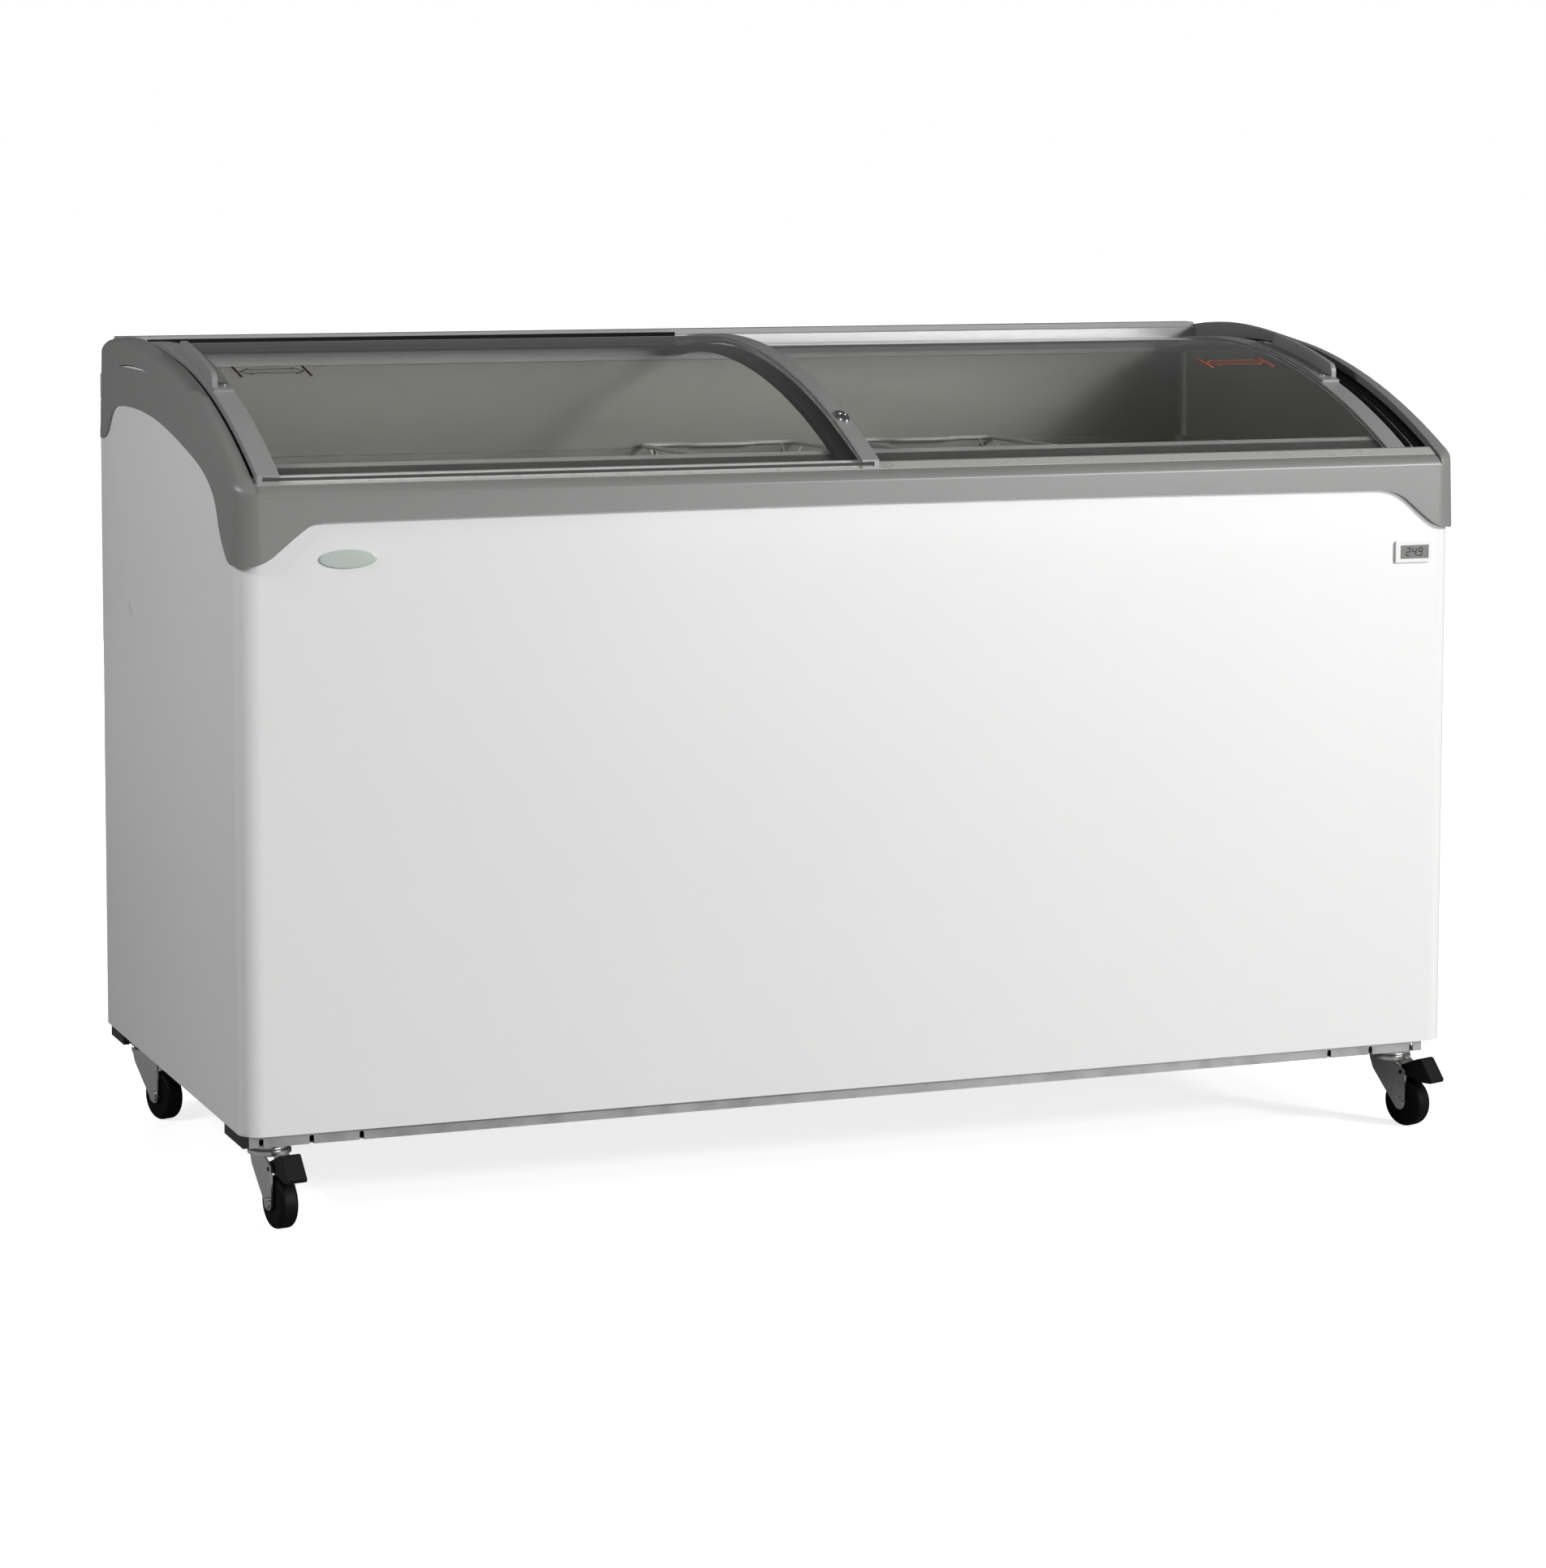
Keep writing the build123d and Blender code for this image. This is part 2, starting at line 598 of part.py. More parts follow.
def lock_housing():
    """Oval escutcheon round the lock barrel."""
    oval = Pos(0, 0, 0.05) * extrude(Ellipse(7.5, 13.0), 2.6)
    oval = fillet(oval.faces().sort_by(Axis.Z)[-1].edges(), 1.6)
    return lock_axis() * (oval - Cylinder(5.0 + FIT, 20))


def lock_barrel():
    """Turning barrel with a keyway."""
    barrel = Pos(0, 0, -1.6) * Cylinder(5.0, 7.2)
    return lock_axis() * (barrel - Pos(0, 0, 2.0) * Box(1.4, 6.0, 6.0))


# ---- baskets ------------------------------------------------------------------------
def bar(start, end, width):
    """Square bar along an axis, its centre line ending half a width short of its ends."""
    low = [min(a, b) - width / 2 for a, b in zip(start, end)]
    high = [max(a, b) + width / 2 for a, b in zip(start, end)]
    return block(low[0], high[0], low[1], high[1], low[2], high[2])


def basket(which):
    """Welded basket: top rim, three hoops, uprights and a grid floor."""
    left, right = (BASKETS[which][0] + WIRE_R, BASKETS[which][1] - WIRE_R)
    x0, x1 = BASKETS[which][0] + BASKET_INSET, BASKETS[which][1] - BASKET_INSET
    y0, y1 = TUB_FRONT + BASKET_INSET, TUB_REAR - BASKET_INSET
    hang = LEDGE_STEP - 3.0
    rim_front, rim_rear = TUB_FRONT - hang, TUB_REAR + hang
    rim = BASKET_LEDGE + WIRE_R + 0.4
    low = BASKET_LEDGE - BASKET_DEPTH
    bars = [
        bar((left, rim_front, rim), (right, rim_front, rim), 2 * WIRE_R),
        bar((left, rim_rear, rim), (right, rim_rear, rim), 2 * WIRE_R),
        bar((x0, rim_front, rim), (x0, rim_rear, rim), 2 * WIRE_R),
        bar((x1, rim_front, rim), (x1, rim_rear, rim), 2 * WIRE_R),
    ]
    for z in (low, low + BASKET_DEPTH * 0.33, low + BASKET_DEPTH * 0.66, rim - 10):
        bars += [bar((x0, y, z), (x1, y, z), HOOP_WIDTH) for y in (y0, y1)]
        bars += [bar((x, y0, z), (x, y1, z), HOOP_WIDTH) for x in (x0, x1)]
    for n in range(1, 12):
        y = y0 + (y1 - y0) * n / 12
        bars += [bar((x, y, low), (x, y, rim), STRUT_WIDTH) for x in (x0, x1)]
        bars.append(bar((x0, y, low), (x1, y, low), STRUT_WIDTH))
    for n in range(1, 5):
        x = x0 + (x1 - x0) * n / 5
        bars += [bar((x, y, low), (x, y, rim - 10), STRUT_WIDTH) for y in (y0, y1)]
        bars.append(bar((x, y0, low), (x, y1, low), STRUT_WIDTH))
    return bars[0].fuse(*bars[1:])


# ---- casters ------------------------------------------------------------------------
def place_caster(which):
    """From the caster's own frame (swivel at the origin, axle ahead in +X) to its corner."""
    x, y, angle = CASTERS[which]
    return Pos(x, y, 0) * Rot(0, 0, angle)


def caster_studs():
    """Upper ball race, fixing stud and kingpin nut of each caster, fixed to the rails."""
    solids = []
    for x, y, _ in CASTERS.values():
        race = Pos(x, y, 85.8) * Cylinder(23.5, 9.2)
        race = chamfer(race.edges().group_by(Axis.Z)[0], 2.5)
        stud = Pos(x, y, 95.0) * Cylinder(STUD_R, 12.0)
        kingpin = Pos(x, y, 77.6) * Cylinder(5.0, 12.0)
        nut = Pos(x, y, 71.0) * extrude(RegularPolygon(7.5, 6), 4.6)
        solids.append(race + stud + kingpin + nut)
    return group(solids)


def caster_nuts():
    """Hexagon nuts that hold the studs, inside the base rails."""
    nut = extrude(RegularPolygon(10.5, 6), 6.0) - Cylinder(STUD_R + 0.1, 20)
    return group([Pos(x, y, RAIL_LOW + 1.6) * nut for x, y, _ in CASTERS.values()])


def stud_holes(rail):
    """Drill a rail where the caster studs pass through it."""
    for x, y, _ in CASTERS.values():
        rail -= Pos(x, y, RAIL_LOW) * Cylinder(STUD_R + 0.3, 8)
    return rail


def caster_fork(which):
    """Pressed fork: lower race cup and two legs that lean to the axle."""
    cup = Pos(0, 0, 78.3) * Cylinder(23.0, 5.0)
    cup = chamfer(cup.edges().group_by(Axis.Z)[-1], 1.2)
    leg = make_face(
        Polyline((-21, 77), (16, 77), (35, 67), (35, 28), (20.8, 23), (2, 43), (-15, 62), (-21, 77))
    )
    leg += Pos(TRAIL, WHEEL_R) * Circle(8.0)
    legs = along_y(leg, -14.0, -11.8) + along_y(leg, 11.8, 14.0)
    fork = cup + legs
    fork -= Pos(0, 0, 78) * Cylinder(5.0 + FIT, 20)
    fork -= Pos(0, 0, 73.3) * Cylinder(9.5, 5.0)
    fork -= Pos(TRAIL, 0, WHEEL_R) * Rot(90, 0, 0) * Cylinder(AXLE_R, 60)
    if which in BRAKED:
        fork -= Pos(*PEDAL_PIVOT) * Rot(90, 0, 0) * Cylinder(2.5 + FIT, 60)
    return place_caster(which) * fork


def caster_axle(which):
    """Axle bolt with a flat head at each end, riveted into the fork."""
    axle = Rot(90, 0, 0) * Cylinder(AXLE_R, 28.2)
    heads = Pos(0, -15.15, 0) * Rot(90, 0, 0) * Cylinder(6.0, 2.1)
    heads += Pos(0, 15.15, 0) * Rot(90, 0, 0) * Cylinder(6.0, 2.1)
    return place_caster(which) * Pos(TRAIL, 0, WHEEL_R) * (axle + heads)


def caster_wheel(which):
    """Solid wheel with a rounded tread and a plain bore."""
    wheel = Rot(90, 0, 0) * Cylinder(WHEEL_R, WHEEL_W)
    wheel = fillet(wheel.edges(), 5.0)
    hub = Rot(90, 0, 0) * Cylinder(9.0, WHEEL_W + 2.6)
    wheel = wheel + hub - Rot(90, 0, 0) * Cylinder(AXLE_R + FIT, 40)
    return place_caster(which) * Pos(TRAIL, 0, WHEEL_R) * wheel


PEDAL_PIVOT = (28.0, 0.0, 64.0)


def brake_pedal(which):
    """Plastic pedal on a cross pin: a block over the wheel and a sloping foot plate."""
    top = Polyline((22, 62), (22, 70), (50, 82), (54, 83), (57, 82), (73, 60))
    foot = Polyline((73, 60), (71.5, 56.5), (60, 55.8), (44, 59), (22, 62))
    profile = make_face([top, foot])
    pedal = along_y(profile, -10.6, 10.6)
    pedal -= Pos(TRAIL, 0, WHEEL_R) * Rot(90, 0, 0) * Cylinder(WHEEL_R + 4.5, 60)
    pedal += Pos(*PEDAL_PIVOT) * Rot(90, 0, 0) * Cylinder(2.5, 28.4)
    return place_caster(which) * pedal


# ---- write every sub-part -------------------------------------------------------------
def all_parts():
    """Every node's name and solid, in the cabinet's own frame."""
    parts = {
        "outer_shell": outer_shell(),
        "rear_panel": rear_panel(),
        "floor_pan": floor_pan(),
        "foam_core": foam_core(),
        "inner_tub": inner_tub(),
        "evaporator_coil": evaporator_coil(),
        "front_base_rail": front_base_rail(),
        "rear_base_rail": rear_base_rail(),
        "side_spacers": side_spacers(),
        "top_frame": top_frame(),
        "rear_rail": rear_rail(),
        "glide_strips": glide_strips(),
        "end_seals": end_seals(),
        "thermometer_bezel": thermometer_bezel(),
        "thermometer_display": thermometer_display(),
        "badge": badge(),
        "side_plug": side_plug(),
        "drain_tube": drain_tube(),
        "drain_plug": drain_plug(),
        "compressor": compressor(),
        "filter_drier": filter_drier(),
        "condenser": condenser(),
        "fan_motor": fan_motor(),
        "fan_rotor": fan_rotor(),
        "rear_grille": rear_grille(),
        "control_box": control_box(),
        "thermostat_knob": thermostat_knob(),
        "power_inlet": power_inlet(),
        "caster_studs": caster_studs(),
        "caster_nuts": caster_nuts(),
        "centre_seal": centre_seal(),
        "lock_housing": lock_housing(),
        "lock_barrel": lock_barrel(),
    }
    for which in ("left", "right"):
        parts[f"{which}_lid_glass"] = lid_glass(which)
        parts[f"{which}_lid_left_profile"] = lid_profile(which, 0)
        parts[f"{which}_lid_right_profile"] = lid_profile(which, 1)
        parts[f"{which}_lid_handle"] = handle(which)
        parts[f"{which}_lid_handle_screws"] = handle_screws(which)
        outer = f"{which}_lid_{which}_profile"
        for y in HANDLE_SCREWS:
            parts[outer] -= screw_axis(which, y) * Cylinder(2.1, 12)
    for node in ("left_lid_right_profile", "left_lid_glass"):
        parts[node] -= lock_axis() * Pos(0, 0, -1) * Cylinder(5.0 + FIT, 16)
    for which in BASKETS:
        parts[which] = basket(which)
    for which in CASTERS:
        parts[f"{which}_fork"] = caster_fork(which)
        parts[f"{which}_axle"] = caster_axle(which)
        parts[f"{which}_wheel"] = caster_wheel(which)
    for which in BRAKED:
        parts[f"{which}_brake_pedal"] = brake_pedal(which)
    return parts


def main():
    """Move every sub-part to the shared origin and write one STEP file for each."""
    os.makedirs("parts", exist_ok=True)
    low, high = [9e9] * 3, [-9e9] * 3
    for name, solid in all_parts().items():
        placed = Pos(0, FOOTPRINT_SHIFT_Y, 0) * solid
        export_step(placed, f"parts/{name}.step")
        size = placed.bounding_box()
        low = [min(a, b) for a, b in zip(low, (size.min.X, size.min.Y, size.min.Z))]
        high = [max(a, b) for a, b in zip(high, (size.max.X, size.max.Y, size.max.Z))]
    print("whole object from", [round(v, 2) for v in low], "to", [round(v, 2) for v in high])


if __name__ == "__main__":
    main()
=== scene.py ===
# %% [markdown]
# # A display chest freezer with sliding curved glass lids
# Every hard part comes from the imported CAD model, which is loaded first and never moved.
# This script gives those parts their finishes, and makes the fine pieces that a solid
# modeller has little use for: round basket wires, panes that follow the true arc, dark
# strips of painted shade and a seal, printed arrows and the figures on the thermometer.

# %% Load the frame
import json
import math

import bmesh
import bpy
import numpy as np
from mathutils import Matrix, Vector


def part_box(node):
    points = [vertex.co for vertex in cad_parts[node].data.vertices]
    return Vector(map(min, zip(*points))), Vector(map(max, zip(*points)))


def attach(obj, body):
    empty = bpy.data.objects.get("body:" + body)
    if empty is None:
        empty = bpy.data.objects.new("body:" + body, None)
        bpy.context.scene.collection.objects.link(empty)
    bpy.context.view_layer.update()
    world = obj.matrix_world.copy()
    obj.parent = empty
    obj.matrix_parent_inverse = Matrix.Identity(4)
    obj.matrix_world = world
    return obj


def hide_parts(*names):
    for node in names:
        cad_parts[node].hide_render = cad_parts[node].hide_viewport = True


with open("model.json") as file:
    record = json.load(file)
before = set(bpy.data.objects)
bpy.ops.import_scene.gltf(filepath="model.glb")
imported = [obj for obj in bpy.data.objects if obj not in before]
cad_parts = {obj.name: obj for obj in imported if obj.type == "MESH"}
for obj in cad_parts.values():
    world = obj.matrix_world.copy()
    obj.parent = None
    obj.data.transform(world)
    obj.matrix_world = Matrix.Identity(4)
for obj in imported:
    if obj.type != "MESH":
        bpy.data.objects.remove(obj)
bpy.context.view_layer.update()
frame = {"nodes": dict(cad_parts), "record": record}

print("parts in the frame:", len(frame["nodes"]))

# %% [markdown]
# ## Named sizes
# The lids are parts of cylinders with one common centre line, so every piece that lies
# on a lid is placed by a radius and an angle about that line. The line and the radii
# are the CAD model's own. A piece that stands for a part takes its size from the part's
# box, so it follows the CAD model when that changes.

# %% Sizes
MM = 0.001
FRONT_TO_MIDDLE = 0.324                     # from the front sheet to the cabinet's middle
SHIFT_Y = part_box("outer_shell")[0].y + FRONT_TO_MIDDLE
ARC_Y, ARC_Z = 0.140 + SHIFT_Y, -0.0403     # centre line of all lid arcs
LEFT_R, RIGHT_R = 0.947, 0.935              # outer faces of the two lids
GLASS_INSET, GLASS_THICK = 6.1 * MM, 4.0 * MM
print("cabinet middle is", round(SHIFT_Y / MM, 2), "mm behind the origin")

# %% [markdown]
# ## Camera
# A product view from the left front, a little above the lids. Blender measures the lens
# against the picture's long side, which is upright here. Shifting the lens down lets the
# camera look almost level, so the cabinet's upright edges stay nearly parallel.

# %% Camera
DOWN_DEG, ROLL_DEG, TURN_DEG = 5.33, -0.12, -21.274

camera_data = bpy.data.cameras.new("camera")
camera = bpy.data.objects.new("camera", camera_data)
bpy.context.scene.collection.objects.link(camera)
camera_data.sensor_width = 36.0
camera_data.lens = 98.52
camera_data.shift_y = -0.15
camera_data.clip_end = 60.0
camera.location = (-1.7838, -4.5863 + SHIFT_Y, 1.1243)
camera.rotation_euler = [math.radians(turn) for turn in (90 - DOWN_DEG, ROLL_DEG, TURN_DEG)]
bpy.context.scene.camera = camera
print("camera stands", round(camera.location.length, 2), "m from the origin")

# %% [markdown]
# ## White surround
# Retail equipment is shown against plain white. The surround is full white only for rays
# that come straight from the camera. For every other ray it is dim, so the metal and the
# glass have something dark to reflect, and the shaded end keeps its grey.

# %% Surround
scene = bpy.context.scene
scene.view_settings.view_transform = "Standard"
scene.view_settings.look = "None"

world = bpy.data.worlds.new("white surround")
world.use_nodes = True
backdrop = world.node_tree.nodes["Background"]
backdrop.inputs["Color"].default_value = (1.0, 1.0, 1.0, 1.0)
seen = world.node_tree.nodes.new("ShaderNodeLightPath")
level = world.node_tree.nodes.new("ShaderNodeMapRange")
level.inputs["To Min"].default_value = 0.10
level.inputs["To Max"].default_value = 1.0
world.node_tree.links.new(seen.outputs["Is Camera Ray"], level.inputs["Value"])
world.node_tree.links.new(level.outputs["Result"], backdrop.inputs["Strength"])
scene.world = world
print("surround strength seen by other rays:", level.inputs["To Min"].default_value)

# %% [markdown]
# ## Lamps
# One sun from the right front is the key light. It makes the front the brightest face and
# leaves the left end in half shade. Flat panels fill the rest: a small one on the right
# for the right half of the lids, a wide low one for the right of the front, one behind so
# that the rear sheet can be read, and one on the left for the left end of the frame.
# A flat panel gives a soft edge to its light, and its size says how soft.


# %% Lamps
def lamp_object(name, data, towards):
    """A lamp whose rays travel along the given direction."""
    lamp = bpy.data.objects.new(name, data)
    lamp.rotation_euler = Vector(towards).to_track_quat("-Z", "Y").to_euler()
    scene.collection.objects.link(lamp)
    return lamp


def panel_light(name, place, target, width, height, power):
    """A flat rectangular lamp at place that faces target."""
    data = bpy.data.lights.new(name, "AREA")
    data.shape, data.size, data.size_y, data.energy = "RECTANGLE", width, height, power
    lamp = lamp_object(name, data, Vector(target) - Vector(place))
    lamp.location = place
    return lamp


def sun(name, towards, strength, spread_deg):
    """A distant lamp; its spread is the angle that its disc fills."""
    data = bpy.data.lights.new(name, "SUN")
    data.energy, data.angle = strength, math.radians(spread_deg)
    return lamp_object(name, data, towards)


sun("key", (-0.57, 0.72, -0.36), 1.35, 8)
panel_light("right panel", (1.9, -1.9, 1.7), (0.5, 0.1, 0.7), 0.8, 0.6, 22)
panel_light("low front panel", (2.3, -4.6, 0.8), (0.2, -0.3, 0.7), 2.4, 1.1, 66)
panel_light("rear panel", (0.8, 5.0, 0.6), (0.0, 0.3, 0.5), 2.4, 0.6, 95)
panel_light("left panel", (-2.6, -0.5, 1.9), (-0.7, 0.1, 0.85), 1.0, 0.5, 26)
print("lamps on the cabinet:", len(bpy.data.lights))

# %% [markdown]
# ## Floor
# The cabinet stands on a pale sheet. A sun straight overhead gives it the faint patch of
# shade between the casters. That sun would bleach the lids and the frame, so it is linked
# to the floor alone: a lamp's receiver collection names the only things it may light.


# %% Floor
def mesh_object(name, points, faces, smooth=True):
    """An object made of points and polygons given as arrays."""
    mesh = bpy.data.meshes.new(name)
    places = np.asarray(points, float).reshape(-1, 3).tolist()
    mesh.from_pydata(places, [], [list(map(int, face)) for face in faces])
    mesh.update()
    if smooth:
        mesh.shade_smooth()
    obj = bpy.data.objects.new(name, mesh)
    scene.collection.objects.link(obj)
    return obj


def light_only(lamp, receiver):
    """Let a lamp fall on one object only."""
    group = bpy.data.collections.new(lamp.name + " receives")
    group.objects.link(receiver)
    lamp.light_linking.receiver_collection = group


FLOOR_HALF = 30
floor_corners = [(x * FLOOR_HALF, y * FLOOR_HALF, 0) for x, y in ((-1, -1), (1, -1), (1, 1), (-1, 1))]
floor = mesh_object("floor", floor_corners, [(0, 1, 2, 3)], smooth=False)
light_only(sun("overhead", (0.0, 0.0, -1.0), 0.9, 6), floor)
print("floor is", 2 * FLOOR_HALF, "m wide")

# %% [markdown]
# ## How the finishes are made
# Each finish is one principled shader. Its base colour drifts slightly with a large soft
# noise, its roughness with a middle one, and a fine noise makes the surface grain as a
# bump. All three read object coordinates in metres, so the grain has the same size on
# every part. What differs between finishes is only the scale and strength of each.


# %% Finish helper
def shader(name):
    """A new material, its node tree and its principled node."""
    material = bpy.data.materials.new(name)
    material.use_nodes = True
    tree = material.node_tree
    return material, tree, tree.nodes["Principled BSDF"]


def coordinates(tree, stretch=(1, 1, 1)):
    """Object coordinates, squeezed along an axis where a pattern should run long."""
    source = tree.nodes.new("ShaderNodeTexCoord")
    mapping = tree.nodes.new("ShaderNodeMapping")
    mapping.inputs["Scale"].default_value = stretch
    tree.links.new(source.outputs["Object"], mapping.inputs["Vector"])
    return mapping.outputs["Vector"]


def noise(tree, vector, scale, detail=2.0, roughness=0.5):
    """Fractal noise with so many cells in each metre."""
    node = tree.nodes.new("ShaderNodeTexNoise")
    node.inputs["Scale"].default_value = scale
    node.inputs["Detail"].default_value = detail
    node.inputs["Roughness"].default_value = roughness
    tree.links.new(vector, node.inputs["Vector"])
    return node.outputs["Fac"]


def ramp(tree, factor, low, high, start=0.3, end=0.7):
    """Colour that goes from low to high as the factor goes from start to end."""
    node = tree.nodes.new("ShaderNodeValToRGB")
    first, last = node.color_ramp.elements
    first.position, last.position = start, end
    first.color, last.color = (*low, 1), (*high, 1)
    tree.links.new(factor, node.inputs["Fac"])
    return node.outputs["Color"]


def spread(tree, factor, low, high):
    """Number that goes from low to high as the factor goes from 0.3 to 0.7."""
    node = tree.nodes.new("ShaderNodeMapRange")
    node.inputs["From Min"].default_value = 0.3
    node.inputs["From Max"].default_value = 0.7
    node.inputs["To Min"].default_value = low
    node.inputs["To Max"].default_value = high
    tree.links.new(factor, node.inputs["Value"])
    return node.outputs["Result"]


def bump(tree, height, distance):
    """Surface normal from a height between 0 and 1 that stands for so many metres."""
    node = tree.nodes.new("ShaderNodeBump")
    node.inputs["Distance"].default_value = distance
    node.inputs["Strength"].default_value = 1.0
    tree.links.new(height, node.inputs["Height"])
    return node.outputs["Normal"]


def finish(name, colour, rough, metal=0.0, drift=0.03, grain=900, depth=0.00004,
           stretch=(1, 1, 1), coat=0.0, shine=0.5):
    """A finish: colour drifting by drift, roughness from rough[0] to rough[1], and grain."""
    material, tree, node = shader(name)
    where = coordinates(tree, stretch)
    low = tuple(c * (1 - drift) for c in colour)
    high = tuple(min(1.0, c * (1 + drift)) for c in colour)
    tree.links.new(ramp(tree, noise(tree, where, 3.1, 3), low, high), node.inputs["Base Color"])
    tree.links.new(spread(tree, noise(tree, where, 41, 4), *rough), node.inputs["Roughness"])
    tree.links.new(bump(tree, noise(tree, where, grain, 2), depth), node.inputs["Normal"])
    node.inputs["Metallic"].default_value = metal
    node.inputs["Coat Weight"].default_value = coat
    node.inputs["Specular IOR Level"].default_value = shine
    node.inputs["Coat Roughness"].default_value = 0.08
    return material


# %% [markdown]
# ## Floor finish
# A white floor under a lit cabinet has two jobs that pull apart: it should look almost
# pure white, and it should not throw so much light up that the sheet metal burns out.
# The Light Path node tells the rays apart. For the camera the floor is pale and glows a
# little, which keeps its shadows faint. For bounced rays it is a much darker grey.


# %% Floor finish
def floor_finish():
    """Pale for the camera with a glow added; its colour is scaled down for other rays."""
    material = finish(
        "floor sweep", (0.70, 0.70, 0.70), (0.9, 0.95), drift=0.01, grain=60, depth=0.0001
    )
    tree = material.node_tree
    node = tree.nodes["Principled BSDF"]
    node.inputs["Specular IOR Level"].default_value = 0.0
    node.inputs["Emission Color"].default_value = (1.0, 1.0, 1.0, 1.0)
    path = tree.nodes.new("ShaderNodeLightPath")

    dim = tree.nodes.new("ShaderNodeMapRange")
    dim.inputs["To Min"].default_value = 0.40
    dim.inputs["To Max"].default_value = 1.0
    tree.links.new(path.outputs["Is Camera Ray"], dim.inputs["Value"])
    scaled = tree.nodes.new("ShaderNodeVectorMath")
    scaled.operation = "SCALE"
    tree.links.new(node.inputs["Base Color"].links[0].from_socket, scaled.inputs[0])
    tree.links.new(dim.outputs["Result"], scaled.inputs["Scale"])
    tree.links.new(scaled.outputs["Vector"], node.inputs["Base Color"])

    glow = tree.nodes.new("ShaderNodeMath")
    glow.operation = "MULTIPLY"
    glow.inputs[1].default_value = 0.77
    tree.links.new(path.outputs["Is Camera Ray"], glow.inputs[0])
    tree.links.new(glow.outputs["Value"], node.inputs["Emission Strength"])
    return material


floor.data.materials.append(floor_finish())
print("floor finish:", floor.data.materials[0].name)

# %% [markdown]
# ## Sheet metal, tubes and fins
# The shell is steel sheet with a smooth powder coat, so its colour hardly drifts and its
# gloss is even. The base rails are bare galvanised sheet, which is blotchy. The tub is
# lined with drawn sheet whose marks run along the cabinet, so its noise is squeezed along
# X. Metal that is only painted keeps the metallic value at zero.

# %% Metal finishes
finishes = {
    "white_sheet": finish(
        "white powder coat", (0.84, 0.838, 0.833), (0.30, 0.38),
        drift=0.006, grain=420, depth=0.000006, coat=0.1,
    ),
    "rear_sheet": finish(
        "white rear sheet", (0.74, 0.75, 0.75), (0.34, 0.42), drift=0.012, grain=420, depth=0.00001
    ),
    "galvanised": finish(
        "galvanised sheet", (0.42, 0.425, 0.42), (0.32, 0.48),
        metal=0.85, drift=0.07, grain=160, depth=0.00003,
    ),
    "liner_metal": finish(
        "brushed liner", (0.155, 0.151, 0.138), (0.36, 0.42),
        metal=0.5, drift=0.04, grain=420, depth=0.00006, stretch=(0.35, 1, 1),
    ),
    "screw_steel": finish("bright steel", (0.60, 0.60, 0.60), (0.16, 0.26), metal=1.0, drift=0.03),
    "copper": finish("copper tube", (0.62, 0.33, 0.2), (0.26, 0.4), metal=1.0, drift=0.08),
    "fin_aluminium": finish(
        "aluminium fins", (0.62, 0.63, 0.64), (0.3, 0.42), metal=1.0, drift=0.04
    ),
    "motor_steel": finish("dark steel", (0.10, 0.105, 0.11), (0.3, 0.45), metal=0.6, drift=0.06),
    "compressor_black": finish(
        "black enamel", (0.018, 0.018, 0.02), (0.22, 0.34), drift=0.08, grain=500
    ),
    "basket_wire": finish("coated wire", (0.30, 0.305, 0.295), (0.30, 0.4), drift=0.03),
    "caster_zinc": finish(
        "zinc plate", (0.74, 0.75, 0.73), (0.20, 0.32),
        metal=1.0, drift=0.08, grain=240, depth=0.00002,
    ),
}
print("metal finishes:", len(finishes))

# %% [markdown]
# ## Plastics, rubber and foam
# The top frame, the lid profiles and the handles are moulded in three close greys. Their
# roughness has a narrow range, because a wide one shows as blotches on a long clean
# moulding. Rubber and the wheels are nearly black and have little shine.

# %% Plastic finishes
finishes |= {
    "frame_grey": finish(
        "grey frame plastic", (0.225, 0.227, 0.221), (0.36, 0.38),
        drift=0.015, grain=1500, depth=0.00001,
    ),
    "band_grey": finish(
        "grey lid profile", (0.30, 0.305, 0.298), (0.30, 0.32),
        drift=0.015, grain=1500, depth=0.00001,
    ),
    "handle_grey": finish(
        "grey handle plastic", (0.25, 0.255, 0.25), (0.36, 0.44),
        drift=0.02, grain=1300, depth=0.00005,
    ),
    "black_plastic": finish(
        "black plastic", (0.012, 0.012, 0.012), (0.42, 0.5),
        drift=0.1, grain=1100, depth=0.00002, shine=0.3,
    ),
    "seal_black": finish(
        "black seal", (0.004, 0.004, 0.004), (0.6, 0.75), drift=0.1, grain=900, shine=0.1
    ),
    "glide_white": finish("glide strip", (0.45, 0.45, 0.44), (0.25, 0.35), drift=0.03),
    "foam": finish("foam", (0.80, 0.72, 0.50), (0.8, 0.95), drift=0.05, grain=500, depth=0.0004),
    "drain_white": finish("white pipe", (0.7, 0.7, 0.7), (0.3, 0.4), drift=0.02),
    "wheel_black": finish(
        "black wheel", (0.004, 0.004, 0.004), (0.5, 0.6),
        drift=0.12, grain=700, depth=0.00003, shine=0.12,
    ),
    "pedal_black": finish(
        "black pedal", (0.005, 0.005, 0.005), (0.4, 0.5),
        drift=0.12, grain=1100, depth=0.00002, shine=0.2,
    ),
    "bezel_white": finish(
        "white bezel", (0.78, 0.78, 0.78), (0.24, 0.30), drift=0.01, grain=1300, depth=0.00002
    ),
    "display_grey": finish(
        "display", (0.17, 0.175, 0.165), (0.2, 0.3), drift=0.02, depth=0.00001, shine=0.3
    ),
    "badge_grey": finish(
        "badge", (0.52, 0.58, 0.55), (0.16, 0.24), drift=0.03, depth=0.00001, coat=0.5
    ),
}
print("finishes so far:", len(finishes))

